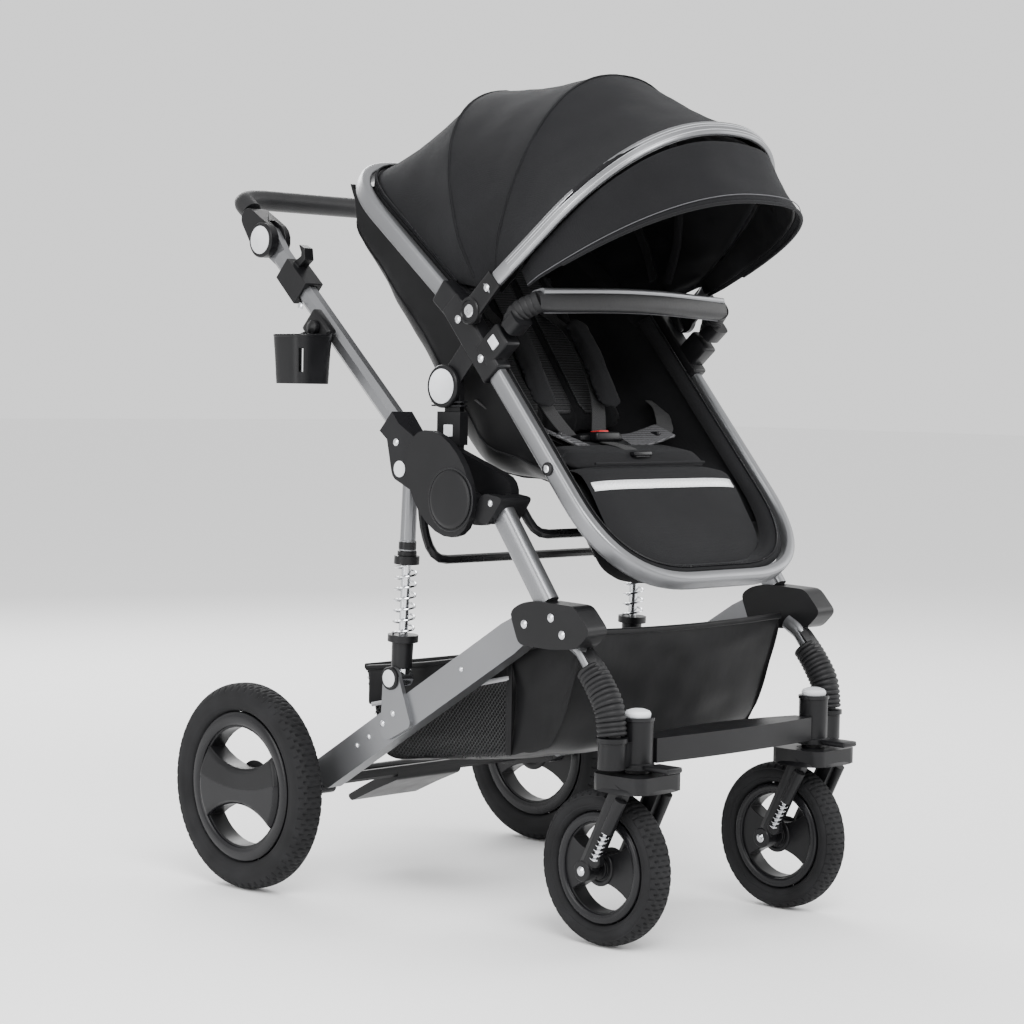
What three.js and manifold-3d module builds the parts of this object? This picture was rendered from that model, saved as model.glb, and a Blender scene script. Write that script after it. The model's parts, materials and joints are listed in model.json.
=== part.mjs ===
// Four-wheeled folding baby stroller, in millimetres, +Z up, the child facing -Y.
// Inside the model group y = 0 is the rear axle, z = 0 the floor and x = 0 the mid-plane.
// The group is then moved so that the object's origin is under the middle of its box.
import * as THREE from 'three';
import { mergeVertices } from 'three/addons/utils/BufferGeometryUtils.js';
import Module from 'manifold-3d';

const wasm = await Module();
wasm.setup();

// ---- driving dimensions ----
const ORIGIN_SHIFT = 264.125;               // rear axle to the middle of the box
const GAP = 0.4;                            // between parts that rest on each other
const REAR = { x: 277, r: 137.75, inner: 100, half: 21, tread: 9, axle: 8 };
const FRONT = { x: 169.3, r: 95.9, inner: 69, half: 19, tread: 7, axle: 6, y: -556.9 };
const SWIVEL_Y = -604.6;                    // caster swivel axis
const TUBE_X = 218;                         // plane of the frame tubes
const TUBE_W = 22;                          // tube width across
const HUB = [-356, 536];                    // fold pivot, (y, z)
const SHOCK_TOP = [-250, 570];
const SHOCK_FOOT = [-236, 301];
const LEG_PIVOT = [-476, 389.5];
const LEG_END = [-92, 157];
const GRIP_PIVOT = [36, 868];
const TUBE_FOOT = [-240, 614];              // lower end of the handle tube
const SEAT_PIVOT = [-289, 676];
const CANOPY_PIVOT = [-340, 771];
const SEAT_X = 186;                         // plane of the seat frame's side tubes
const SEAT_TOP = [-63, 966];                // middle of the seat frame's upper loop
const SEAT_BEND = [-300, 776];              // where it meets the lower loop, in the joint blocks
const SEAT_FOOT = [-587, 442];              // middle of the lower loop
const BAR_R = 12;                           // bumper bar radius
const RIGHT_AND_LEFT = [[-1, 'right'], [1, 'left']];

const ALUMINIUM = { color: 0x8f9093, roughness: 0.35, metalness: 0.9 };
const BLACK = { color: 0x17171a, roughness: 0.5, metalness: 0 };
const RUBBER = { color: 0x1d1d1f, roughness: 0.85, metalness: 0 };
const STEEL = { color: 0xc4c6c9, roughness: 0.2, metalness: 1 };
const FABRIC = { color: 0x121214, roughness: 0.95, metalness: 0 };
const LEATHER = { color: 0x161617, roughness: 0.55, metalness: 0 };
const WHITE = { color: 0xdedede, roughness: 0.45, metalness: 0 };

const model = new THREE.Group();
model.position.y = ORIGIN_SHIFT;

function add(name, geometry, look) {
  const mesh = new THREE.Mesh(geometry, new THREE.MeshStandardMaterial(look));
  mesh.name = name;
  model.add(mesh);
}

// ---- joining and cutting ----
function solid(geometry) {
  const bare = geometry.clone();
  bare.deleteAttribute('normal');
  bare.deleteAttribute('uv');
  const g = mergeVertices(bare, 1e-3);
  return new wasm.Manifold(new wasm.Mesh({
    numProp: 3,
    vertProperties: new Float32Array(g.attributes.position.array),
    triVerts: new Uint32Array(g.index.array),
  }));
}

function geometryOf(manifold) {
  const { vertProperties, triVerts } = manifold.getMesh();
  const g = new THREE.BufferGeometry();
  g.setAttribute('position', new THREE.BufferAttribute(vertProperties, 3));
  g.setIndex(new THREE.BufferAttribute(triVerts, 1));
  return g;
}

function join(...pieces) {
  return geometryOf(pieces.map(solid).reduce((a, b) => a.add(b)));
}

function cut(body, ...tools) {
  return geometryOf(tools.map(solid).reduce((a, b) => a.subtract(b), solid(body)));
}

// ---- basic shapes ----
function box(x0, x1, y0, y1, z0, z1) {
  const g = new THREE.BoxGeometry(Math.abs(x1 - x0), Math.abs(y1 - y0), Math.abs(z1 - z0));
  return g.translate((x0 + x1) / 2, (y0 + y1) / 2, (z0 + z1) / 2);
}

// A plate with an outline in (y, z), between two values of x.
function plate(shape, x0, x1) {
  const outline = shape instanceof THREE.Shape ? shape : polygon(shape);
  const depth = Math.abs(x1 - x0);
  const g = new THREE.ExtrudeGeometry(outline, { depth, bevelEnabled: false, curveSegments: 8 });
  const toYZ = new THREE.Matrix4().makeBasis(
    new THREE.Vector3(0, 1, 0), new THREE.Vector3(0, 0, 1), new THREE.Vector3(1, 0, 0));
  return g.applyMatrix4(toYZ).translate(Math.min(x0, x1), 0, 0);
}

function polygon(points) {
  return new THREE.Shape(points.map(([a, b]) => new THREE.Vector2(a, b)));
}

// An outline whose corners are rounded by quadratic curves that start this far from them.
function rounded(points, radius) {
  const shape = new THREE.Shape();
  const at = points.map(([a, b]) => new THREE.Vector2(a, b));
  at.forEach((corner, i) => {
    const before = at[(i + at.length - 1) % at.length];
    const after = at[(i + 1) % at.length];
    const near = (other) => corner.clone().add(
      other.clone().sub(corner).setLength(Math.min(radius, corner.distanceTo(other) * 0.48)));
    const start = near(before);
    const end = near(after);
    if (i === 0) shape.moveTo(start.x, start.y);
    else shape.lineTo(start.x, start.y);
    shape.quadraticCurveTo(corner.x, corner.y, end.x, end.y);
  });
  shape.closePath();
  return new THREE.Shape(shape.getPoints(3).slice(0, -1));
}

function circle(r, [a, b] = [0, 0], segments = 20) {
  const points = [];
  for (let i = 0; i < segments; i += 1) {
    const t = (i + 0.5) / segments * Math.PI * 2;
    points.push(new THREE.Vector2(a + r * Math.cos(t), b + r * Math.sin(t)));
  }
  return points;
}

function ellipse(ra, rb, turn, [a, b], segments = 24) {
  return circle(1, [0, 0], segments).map((p) => [
    a + ra * p.x * Math.cos(turn) - rb * p.y * Math.sin(turn),
    b + ra * p.x * Math.sin(turn) + rb * p.y * Math.cos(turn)]);
}

// A disc across the stroller, centred on (y, z), between two values of x.
function disc(r, centre, x0, x1, segments = 16) {
  return plate(new THREE.Shape(circle(r, centre, segments)), x0, x1);
}

function post(r, x, y, z0, z1, segments = 16) {
  const g = new THREE.CylinderGeometry(r, r, z1 - z0, segments);
  return g.rotateX(Math.PI / 2).translate(x, y, (z0 + z1) / 2);
}

// The outline that surrounds circles of given centre and radius.
function hullOf(circles, segments = 16) {
  const all = circles.flatMap(([centre, r]) => circle(r, centre, segments).map((p) => [p.x, p.y]));
  all.sort((p, q) => p[0] - q[0] || p[1] - q[1]);
  const turn = (o, a, b) => (a[0] - o[0]) * (b[1] - o[1]) - (a[1] - o[1]) * (b[0] - o[0]);
  const half = (points) => points.reduce((chain, p) => {
    while (chain.length > 1 && turn(chain.at(-2), chain.at(-1), p) <= 0.01) chain.pop();
    chain.push(p);
    return chain;
  }, []).slice(0, -1);
  return [...half(all), ...half([...all].reverse())];
}

// ---- tubes along a route ----
// A route is a polyline whose section keeps its first direction along a fixed vector.
class Route extends THREE.Curve {
  constructor(points, across) {
    super();
    this.points = points;
    this.across = across.clone().normalize();
  }

  getPoint(t, target = new THREE.Vector3()) {
    const last = this.points.length - 1;
    const i = Math.min(Math.floor(t * last), last - 1);
    return target.copy(this.points[i]).lerp(this.points[i + 1], t * last - i);
  }

  getSpacedPoints() {
    return this.points;
  }

  computeFrenetFrames() {
    const tangents = this.points.map((p, i) => {
      const ahead = this.points[Math.min(i + 1, this.points.length - 1)].clone().sub(p).normalize();
      const behind = p.clone().sub(this.points[Math.max(i - 1, 0)]).normalize();
      return ahead.add(behind).normalize();
    });
    const normals = tangents.map((t) => {
      const n = this.across.clone();
      return n.addScaledVector(t, -n.dot(t)).normalize();
    });
    const binormals = tangents.map((t, i) => t.clone().cross(normals[i]));
    return { tangents, normals, binormals };
  }
}

// Rounds the inner corners of a list of 3-D points with arcs of a few steps.
function filleted(points, radius, steps = 4) {
  const route = [points[0]];
  for (let i = 1; i < points.length - 1; i += 1) {
    const corner = points[i];
    const reach = (other) => corner.clone().add(other.clone().sub(corner)
      .setLength(Math.min(radius, corner.distanceTo(other) * 0.49)));
    const bend = new THREE.QuadraticBezierCurve3(
      reach(points[i - 1]), corner, reach(points[i + 1]));
    route.push(...bend.getPoints(steps));
  }
  route.push(points.at(-1));
  return route;
}

function vectors(points) {
  return points.map((p) => new THREE.Vector3(...p));
}

// A flat-oval or round tube: width is measured along the vector across.
function tube(points, width, height, across, radius = 0, steps = 4, sides = 8) {
  const outline = circle(0.5, [0, 0], sides).map((p) => {
    const flat = width === height ? 1 : 1.18;
    const x = THREE.MathUtils.clamp(p.x * width * flat, -width / 2, width / 2);
    const y = THREE.MathUtils.clamp(p.y * height * flat, -height / 2, height / 2);
    return new THREE.Vector2(x, y);
  });
  const at = radius > 0 ? filleted(vectors(points), radius, steps) : vectors(points);
  return new THREE.ExtrudeGeometry(new THREE.Shape(outline), {
    steps: at.length - 1, extrudePath: new Route(at, across), bevelEnabled: false });
}

const ACROSS = new THREE.Vector3(1, 0, 0);

// ---- wheels ----
// A ring turned about the X axis, from a profile of [radius, x] points.
function ring(profile, segments) {
  const closed = [...profile, profile[0]].map(([r, x]) => new THREE.Vector2(r, x));
  const g = new THREE.LatheGeometry(closed, segments);
  return g.rotateY(Math.PI / segments).rotateZ(-Math.PI / 2);
}

function tyre(w, segments) {
  const edge = 1 / Math.cos(Math.PI / segments);
  const shoulder = (w.r + w.inner) / 2 + 4;
  return ring([
    [w.inner, -w.half * 0.72], [shoulder - 16, -w.half], [shoulder, -w.half],
    [(w.r - 5) * edge, -w.tread - 6], [w.r * edge, -w.tread],
    [w.r * edge, w.tread], [(w.r - 5) * edge, w.tread + 6],
    [shoulder, w.half], [shoulder - 16, w.half], [w.inner, w.half * 0.72],
  ], segments);
}

// A rim with one wide band across it, which leaves a lens-shaped opening above and below.
function rim(w, segments) {
  const outer = (w.inner - GAP) * Math.cos(Math.PI / segments);
  const hole = outer * 0.8;
  const face = new THREE.Shape(circle(outer, [0, 0], segments));
  [1, -1].forEach((up) => {
    const lens = [];
    const bow = outer * 1.05;
    const dip = outer * 0.24;
    const corner = Math.acos((hole * hole + (dip + bow) ** 2 - bow * bow) / (2 * hole * (dip + bow)));
    for (let i = 0; i <= 12; i += 1) {
      const t = Math.PI / 2 + corner * (1 - i / 6);
      lens.push([hole * Math.cos(t), up * hole * Math.sin(t)]);
    }
    const side = lens.at(-1);
    const reach = Math.atan2(Math.abs(side[0]), dip + bow - Math.abs(side[1]));
    for (let i = 1; i < 10; i += 1) {
      const t = -Math.PI / 2 + reach * (1 - i / 5);
      lens.push([bow * Math.cos(t) * Math.sign(side[0]), up * (dip + bow + bow * Math.sin(t))]);
    }
    face.holes.push(new THREE.Path(lens.map(([a, b]) => new THREE.Vector2(a, b))));
  });
  face.holes.push(new THREE.Path(circle(w.axle + 0.35, [0, 0], 16)));
  const half = w.half * 0.62;
  const web = plate(face, -half, half);
  const boss = cut(disc(outer * 0.2, [0, 0], -half - 4, half + 4, 20),
    disc(w.axle + 0.35, [0, 0], -half - 9, half + 9, 16));
  return join(web, boss);
}

function wheel(w, name, y, segments, s, side) {
  add(`${name}_tyre_${side}`, tyre(w, segments).translate(s * w.x, y, w.r), RUBBER);
  add(`${name}_rim_${side}`, rim(w, segments).translate(s * w.x, y, w.r), BLACK);
}

// ---- chassis ----
// x at a distance out from the mid-plane, on the side s.
function span(s, inner, outer) {
  return [s * inner, s * outer];
}

function frontTube(s) {
  return tube([[s * TUBE_X, -416, 524], [s * TUBE_X, -498.5, 415]], TUBE_W, 30, ACROSS);
}

function hub(s) {
  const web = plate(hullOf([[HUB, 34], [[-300, 575], 26], [[-242, 556], 16], [[-392, 545], 24]]),
    ...span(s, 188, 201.5));
  const pin = disc(8, HUB, ...span(s, 195, 245), 16);
  const cover = plate(ellipse(74, 50, 0.92, [-333, 555]), ...span(s, 238.8, 248.6));
  const nose = plate(rounded([[-404, 546], [-384, 516], [-412, 505], [-440, 541]], 9),
    ...span(s, 188, 240));
  const room = disc(28, HUB, ...span(s, 201.5, 238.8), 24);
  const tubeEnd = tube([[s * TUBE_X, -395, 552], [s * TUBE_X, -494, 421]],
    TUBE_W + 1, 31, ACROSS);
  const socket = box(...span(s, 189.5, 199.8), -318.5, -279.5, 568, 640);
  return cut(join(cut(join(web, nose), room, tubeEnd), pin, cover), socket);
}

function frontBracket(s) {
  const outline = rounded([[-450, 403], [-467, 414], [-489, 419], [-559, 417], [-586, 388],
    [-564, 366], [-520, 362], [-466, 364]], 9);
  const block = plate(outline, ...span(s, 202.6, 236));
  const slot = plate([[-440, 460], [-506, 460], [-500, 340], [-440, 340]], ...span(s, 206.2, 231.2));
  const stem = tube(stemRoute(s, 10), 22, 22, ACROSS, 40);
  return join(cut(block, slot), stem);
}

function stemRoute(s, lead) {
  const x = s * 207;
  return [[x, -530, 362 + lead], [x, -568, 350], [x, -598, 292], [x, -598, 262 + GAP]];
}

function bellows(s) {
  const sleeve = tube([[s * 207, -562, 338], [s * 207, -577, 322], [s * 207, -598, 288],
    [s * 207, -598, 262 + GAP]], 38, 38, ACROSS, 40);
  const bore = tube(stemRoute(s, 10), 25, 25, ACROSS, 40);
  const low = tube([[s * 207, -598, 280], [s * 207, -598, 250]], 25, 25, ACROSS);
  return cut(sleeve, bore, low);
}

function casterHousing(s) {
  const body = post(19, s * FRONT.x, SWIVEL_Y, 221, 281);
  const cap = post(15, s * FRONT.x, SWIVEL_Y, 280, 288);
  const socket = post(17, s * 207, -598, 224, 262);
  const bridge = box(...span(s, 176, 204), -611, -592, 226, 256);
  return join(body, cap, socket, bridge);
}

function footrest() {
  const outline = new THREE.Shape();
  outline.moveTo(-151, -590);
  outline.quadraticCurveTo(0, -545, 151, -590);
  outline.lineTo(149, -618);
  outline.quadraticCurveTo(0, -632, -149, -618);
  outline.closePath();
  const depth = 30;
  const g = new THREE.ExtrudeGeometry(outline, { depth, bevelEnabled: false, curveSegments: 12 });
  return g.translate(0, 0, 228);
}

function seatBar(y, top, drop, corner) {
  const half = corner;
  const points = [[-181.4, ...top], [-181.4, drop[0], drop[1] + 36], [-half, y, drop[1]],
    [half, y, drop[1]], [181.4, drop[0], drop[1] + 36], [181.4, ...top]];
  return tube(points, 12, 12, new THREE.Vector3(0, 0.9, 0.44), 22, 3);
}

function basket() {
  const outer = [[-135, 303], [-176, 188], [-350, 206], [-478, 238], [-530, 380]];
  const inner = [[-142, 330], [-182, 195], [-350, 213], [-473, 244], [-534, 410]];
  return cut(plate(outer, -190, 190), plate(inner, -184, 184));
}

RIGHT_AND_LEFT.forEach(([s, side]) => {
  add(`front_tube_${side}`, frontTube(s), ALUMINIUM);
  add(`hub_${side}`, hub(s), BLACK);
  add(`front_bracket_${side}`, frontBracket(s), BLACK);
  add(`bellows_${side}`, bellows(s), RUBBER);
  add(`caster_housing_${side}`, casterHousing(s), BLACK);
});
add('footrest', footrest(), BLACK);
add('seat_bar_rear', seatBar(-247, [-226, 562], [-236, 451], 172), BLACK);
add('seat_bar_front', seatBar(-430, [-392, 548], [-412, 494], 172), BLACK);
add('basket', basket(), FABRIC);

// ---- rear legs, axle and brake ----
function legPoint(along, up = 0) {
  const d = new THREE.Vector2(LEG_END[0] - LEG_PIVOT[0], LEG_END[1] - LEG_PIVOT[1]);
  const length = d.length();
  d.divideScalar(length);
  return [LEG_PIVOT[0] + d.x * along - d.y * up, LEG_PIVOT[1] + d.y * along + d.x * up];
}

const LEG_LENGTH = Math.hypot(LEG_END[0] - LEG_PIVOT[0], LEG_END[1] - LEG_PIVOT[1]);

function rearLeg(s) {
  const end = LEG_LENGTH - 9;
  const beam = plate(hullOf([[LEG_PIVOT, 17], [legPoint(40, 12), 9], [legPoint(40, -12), 9],
    [legPoint(end, 12), 9], [legPoint(end, -12), 9]]),
    ...span(s, 207.5, 230));
  const shockPlate = plate(hullOf([[SHOCK_FOOT, 15], [legPoint(255, -12), 9],
    [legPoint(292, -6), 12]]), ...span(s, 229.9, 236));
  return join(beam, shockPlate);
}

function rearAxle() {
  const rod = tube([[-294, 0, REAR.r], [294, 0, REAR.r]], 16, 16, new THREE.Vector3(0, 1, 0), 0, 1, 12);
  const arms = RIGHT_AND_LEFT.map(([s]) => plate(hullOf([[[0, REAR.r], 19],
    [legPoint(LEG_LENGTH + 10, 11), 10], [legPoint(LEG_LENGTH + 10, -11), 10]]), ...span(s, 206, 231)));
  return join(rod, ...arms);
}

function brakePedal() {
  const bar = tube([[-205, -52, 141], [205, -52, 141]], 15, 15, new THREE.Vector3(0, 1, 0), 0, 1, 8);
  const tread = plate(rounded([[-60, 144], [-58, 130], [-10, 110], [38, 88], [46, 96], [0, 120],
    [-44, 140]], 5), -60, 60);
  return join(bar, tread);
}

RIGHT_AND_LEFT.forEach(([s, side]) => {
  add(`rear_leg_${side}`, rearLeg(s), ALUMINIUM);
  wheel(REAR, 'rear', 0, 40, s, side);
});
add('rear_axle', rearAxle(), BLACK);
add('brake_pedal', brakePedal(), BLACK);

// ---- shock struts ----
function strutPoint(along, side = 0) {
  const d = new THREE.Vector2(SHOCK_FOOT[0] - SHOCK_TOP[0], SHOCK_FOOT[1] - SHOCK_TOP[1]);
  d.normalize();
  return [SHOCK_TOP[0] + d.x * along - d.y * side, SHOCK_TOP[1] + d.y * along + d.x * side];
}

const STRUT_LENGTH = Math.hypot(SHOCK_FOOT[0] - SHOCK_TOP[0], SHOCK_FOOT[1] - SHOCK_TOP[1]);

function strutPiece(s, width, from, to) {
  return tube([[s * TUBE_X, ...strutPoint(from)], [s * TUBE_X, ...strutPoint(to)]],
    width, width, ACROSS, 0, 1, 12);
}

function shockUpper(s) {
  const eye = disc(11, SHOCK_TOP, ...span(s, 208, 233.8));
  const whole = join(eye, strutPiece(s, 20, 0, 96), strutPiece(s, 22, 92, 116),
    strutPiece(s, 32, 112, 122));
  return cut(whole, strutPiece(s, 12.6, 54, 140));
}

function shockLower(s) {
  const eye = disc(12, SHOCK_FOOT, ...span(s, 207.5, 229.6));
  return join(eye, strutPiece(s, 12, 76, STRUT_LENGTH), strutPiece(s, 38, 214, 222),
    strutPiece(s, 22, 221, STRUT_LENGTH - 2));
}

function shockSpring(s) {
  return cut(strutPiece(s, 30, 122.4, 213.6), strutPiece(s, 24, 110, 230));
}

RIGHT_AND_LEFT.forEach(([s, side]) => {
  add(`shock_upper_${side}`, shockUpper(s), ALUMINIUM);
  add(`shock_lower_${side}`, shockLower(s), STEEL);
  add(`shock_spring_${side}`, shockSpring(s), STEEL);
});

// ---- handle ----
function towardGrip(along, side = 0) {
  const d = new THREE.Vector2(GRIP_PIVOT[0] - TUBE_FOOT[0], GRIP_PIVOT[1] - TUBE_FOOT[1]).normalize();
  return [TUBE_FOOT[0] + d.x * along - d.y * side, TUBE_FOOT[1] + d.y * along + d.x * side];
}

const HANDLE_LENGTH = Math.hypot(GRIP_PIVOT[0] - TUBE_FOOT[0], GRIP_PIVOT[1] - TUBE_FOOT[1]);

function handleTube(s) {
  const outer = tube([[s * TUBE_X, ...towardGrip(0)], [s * TUBE_X, ...towardGrip(HANDLE_LENGTH - 34)]],
    TUBE_W, 26, ACROSS);
  const tongue = plate(hullOf([[GRIP_PIVOT, 19], [towardGrip(HANDLE_LENGTH - 40), 12]]),
    ...span(s, 213, 223));
  return join(outer, tongue);
}

function handleArm(s) {
  const arm = plate(hullOf([[HUB, 26], [SHOCK_TOP, 16], [towardGrip(2), 15]]), ...span(s, 234.4, 238.2));
  const block = plate([towardGrip(-14, 13), towardGrip(-14, -13), towardGrip(24, -17),
    towardGrip(24, 17)], ...span(s, 203, 238.2));
  const bore = tube([[s * TUBE_X, ...towardGrip(-GAP)], [s * TUBE_X, ...towardGrip(60)]],
    TUBE_W + 1, 27, ACROSS);
  const pinHole = disc(8.4, HUB, ...span(s, 200, 250), 16);
  return cut(join(arm, block), bore, pinHole);
}

function collar(s) {
  const from = HANDLE_LENGTH - 108;
  const sleeve = plate([towardGrip(from, 18), towardGrip(from, -18), towardGrip(from + 52, -17),
    towardGrip(from + 52, 17)], ...span(s, 202.5, 233.5));
  const hook = plate([towardGrip(from + 34, 15), towardGrip(from + 30, 34), towardGrip(from + 42, 44),
    towardGrip(from + 54, 40), towardGrip(from + 43, 36), towardGrip(from + 40, 32),
    towardGrip(from + 46, 15)], ...span(s, 210, 226));
  const bore = tube([[s * TUBE_X, ...towardGrip(from - 20)], [s * TUBE_X, ...towardGrip(from + 70)]],
    TUBE_W + 1.4, 27.4, ACROSS);
  return cut(join(sleeve, hook), bore);
}

function gripJoint(s) {
  const upper = [68, 898];
  const cheeks = cut(plate(hullOf([[GRIP_PIVOT, 24], [upper, 14]]), ...span(s, 203, 233)),
    plate(hullOf([[GRIP_PIVOT, 27], [towardGrip(HANDLE_LENGTH - 60), 27]]), ...span(s, 212.5, 223.5)));
  return cheeks;
}

function gripBar() {
  const start = [78, 908];
  const points = [-1, 1].map((s) => [[s * TUBE_X, ...start], [s * TUBE_X, 103, 927]]);
  return tube([...points[0], ...points[1].reverse()], 29, 29, new THREE.Vector3(0, -0.64, 0.77), 44, 5, 10);
}

function cupHolder() {
  const centre = new THREE.Vector2(-264.5, -88);
  const cup = post(33, centre.x, centre.y, 676, 738, 20);
  const hollow = post(29.5, centre.x, centre.y, 680, 800, 20);
  const clip = plate([[-122, 742], [-96, 716], [-58, 752], [-84, 778]], -247, -229.4);
  const link = box(-252, -236, -104, -76, 700, 742);
  return cut(join(cup, clip, link), hollow);
}

RIGHT_AND_LEFT.forEach(([s, side]) => {
  add(`handle_tube_${side}`, handleTube(s), ALUMINIUM);
  add(`handle_arm_${side}`, handleArm(s), BLACK);
  add(`release_collar_${side}`, collar(s), BLACK);
  add(`grip_joint_${side}`, gripJoint(s), BLACK);
});
add('grip_bar', gripBar(), LEATHER);
add('cup_holder', cupHolder(), BLACK);

// ---- casters ----
function casterFork(s) {
  const x = s * FRONT.x;
  const axle = [FRONT.y, FRONT.r];
  const hood = new THREE.ExtrudeGeometry(rounded([[-40, -646], [40, -646], [44, -590], [40, -566],
    [-40, -566], [-44, -590]], 14), { depth: 20, bevelEnabled: false }).translate(x, 0, 197);
  const neck = post(15, x, SWIVEL_Y, 215, 220.6);
  const legs = [-1, 1].flatMap((out) => {
    const at = x + out * 33;
    return [tube([[at, -612, 205], [at, ...axle]], 20, 22, ACROSS, 0, 1, 10),
      disc(13, axle, at - 8, at + 8)];
  });
  const bolt = disc(FRONT.axle, axle, x - 44, x + 44, 16);
  return join(hood, neck, bolt, ...legs);
}

function casterLock(s) {
  const x = s * FRONT.x;
  return box(x - 13, x + 13, -666, -628, 223, 229);
}

RIGHT_AND_LEFT.forEach(([s, side]) => {
  add(`caster_fork_${side}`, casterFork(s), BLACK);
  add(`caster_lock_${side}`, casterLock(s), BLACK);
  wheel(FRONT, 'front', FRONT.y, 32, s, side);
});

// ---- seat unit ----
function yz(point) {
  return point.slice(1);
}

// A plane of the seat frame that leaves the bend towards a point: at() takes x, then how far
// along the plane, then how far out on the child's side.
function seatPlane(towards, side) {
  const along = new THREE.Vector2(towards[0] - SEAT_BEND[0], towards[1] - SEAT_BEND[1]);
  const length = along.length();
  along.divideScalar(length);
  const out = new THREE.Vector2(-along.y, along.x).multiplyScalar(side);
  return {
    length,
    normal: new THREE.Vector3(0, out.x, out.y),
    at: (x, far, above = 0) => [x, SEAT_BEND[0] + along.x * far + out.x * above,
      SEAT_BEND[1] + along.y * far + out.y * above],
  };
}

const UPPER = seatPlane(SEAT_TOP, 1);
const LOWER = seatPlane(SEAT_FOOT, -1);

function seatFrame(plane, corner) {
  const points = [plane.at(-SEAT_X, 2.5), plane.at(-SEAT_X, plane.length),
    plane.at(SEAT_X, plane.length), plane.at(SEAT_X, 2.5)];
  return tube(points, 24, 15, plane.normal, corner, 6);
}

function seatBlock(s) {
  const bores = [UPPER, LOWER].map((plane) => tube(
    [plane.at(s * SEAT_X, -12), plane.at(s * SEAT_X, 190)], 25, 16, plane.normal));
  const clamp = join(...[[UPPER, 12], [LOWER, 110]].map(([plane, far]) => plate(
    hullOf([[SEAT_BEND, 19], [yz(plane.at(0, far)), 19]]), ...span(s, 174.5, 199.5))));
  const arm = plate(hullOf([[SEAT_PIVOT, 24], [yz(LOWER.at(0, 58)), 16]]), ...span(s, 194.6, 199.5));
  const canopyBoss = plate(hullOf([[CANOPY_PIVOT, 17], [yz(LOWER.at(0, 20)), 12]]),
    ...span(s, 190, 199.5));
  const bumperSocket = plate(hullOf([[yz(LOWER.at(0, 84, 12)), 15], [yz(LOWER.at(0, 84, 34)), 15]]),
    ...span(s, 174.5, 199.5));
  return cut(join(clamp, arm, canopyBoss, bumperSocket), ...bores);
}

function seatAdapter(s) {
  const boss = disc(24, SEAT_PIVOT, ...span(s, 186, 194.2));
  const stalk = box(...span(s, 186, 194.2), -313, -285, 610, 676);
  const collarBlock = box(...span(s, 186, 200.5), -320, -278, 602, 644);
  const plug = box(...span(s, 190, 199.3), -318, -280, 569, 604);
  const pocket = box(...span(s, 194.6, 210), -307, -291, 612, 628);
  return cut(join(boss, stalk, collarBlock, plug), pocket);
}

function adapterButton(s) {
  return box(...span(s, 197.6, 201.9), -306.5, -291.5, 612.5, 627.5);
}

function seatShell() {
  const outer = [yz(UPPER.at(0, 302, -13)), yz(UPPER.at(0, 0, -13)), yz(LOWER.at(0, 330, -13)),
    [-524, 431], [-512, 446], [-476, 536], [-440, 556], [-330, 556], [-262, 606], [-224, 664],
    [-172, 735], [-130, 789], [-80, 850], [-68, 916]];
  const inner = [yz(UPPER.at(0, 270, 40)), yz(LOWER.at(0, 238, 40)), yz(LOWER.at(0, 228, -14)),
    [-446, 568], [-338, 568], [-270, 616], [-234, 672], [-182, 742], [-141, 796], [-92, 856],
    [-82, 910]];
  return cut(plate(outer, -172, 172), plate(inner, -162, 162));
}

// ---- canopy ----
// A rib of the canopy: an arch over the seat, in a plane through the canopy pivots.
function ribPoint(angle, reach, width, t) {
  const c = Math.cos(t);
  const r = reach * Math.sin(t) ** 0.66;
  const x = -width * Math.sign(c) * Math.abs(c) ** 0.88;
  return [x, CANOPY_PIVOT[0] + r * Math.cos(angle), CANOPY_PIVOT[1] + r * Math.sin(angle)];
}

// Each rib: its angle about the canopy pivots, its reach from them and its half-width.
const CANOPY_RIBS = [[37.6, 346, 184], [51, 333, 189], [65.7, 330, 190], [84, 316, 186],
  [102, 314, 182], [118, 316, 182], [134, 326, 184]];
const VISOR_RIBS = [[139.5, 325, 182], [148, 328, 180], [156.2, 337, 177]];

function canopySkin(ribs, thickness) {
  const across = 14;
  const position = [];
  const index = [];
  [0, -thickness].forEach((inset) => ribs.forEach(([degrees, reach, width]) => {
    for (let i = 0; i <= across; i += 1) {
      const t = Math.PI * (0.05 + 0.9 * i / across);
      position.push(...ribPoint(degrees * Math.PI / 180, reach + inset, width + inset, t));
    }
  }));
  const row = across + 1;
  const layer = ribs.length * row;
  const quad = (a, b, c, d) => index.push(a, b, c, a, c, d);
  for (let j = 0; j < ribs.length - 1; j += 1) {
    for (let i = 0; i < across; i += 1) {
      const a = j * row + i;
      quad(a, a + row, a + row + 1, a + 1);
      quad(layer + a, layer + a + 1, layer + a + row + 1, layer + a + row);
    }
    const a = j * row;
    const b = a + across;
    quad(a, layer + a, layer + a + row, a + row);
    quad(b, b + row, layer + b + row, layer + b);
  }
  const last = (ribs.length - 1) * row;
  for (let i = 0; i < across; i += 1) {
    quad(i, i + 1, layer + i + 1, layer + i);
    quad(last + i, layer + last + i, layer + last + i + 1, last + i + 1);
  }
  const g = new THREE.BufferGeometry();
  g.setAttribute('position', new THREE.Float32BufferAttribute(position, 3));
  g.setIndex(index);
  return g;
}

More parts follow.
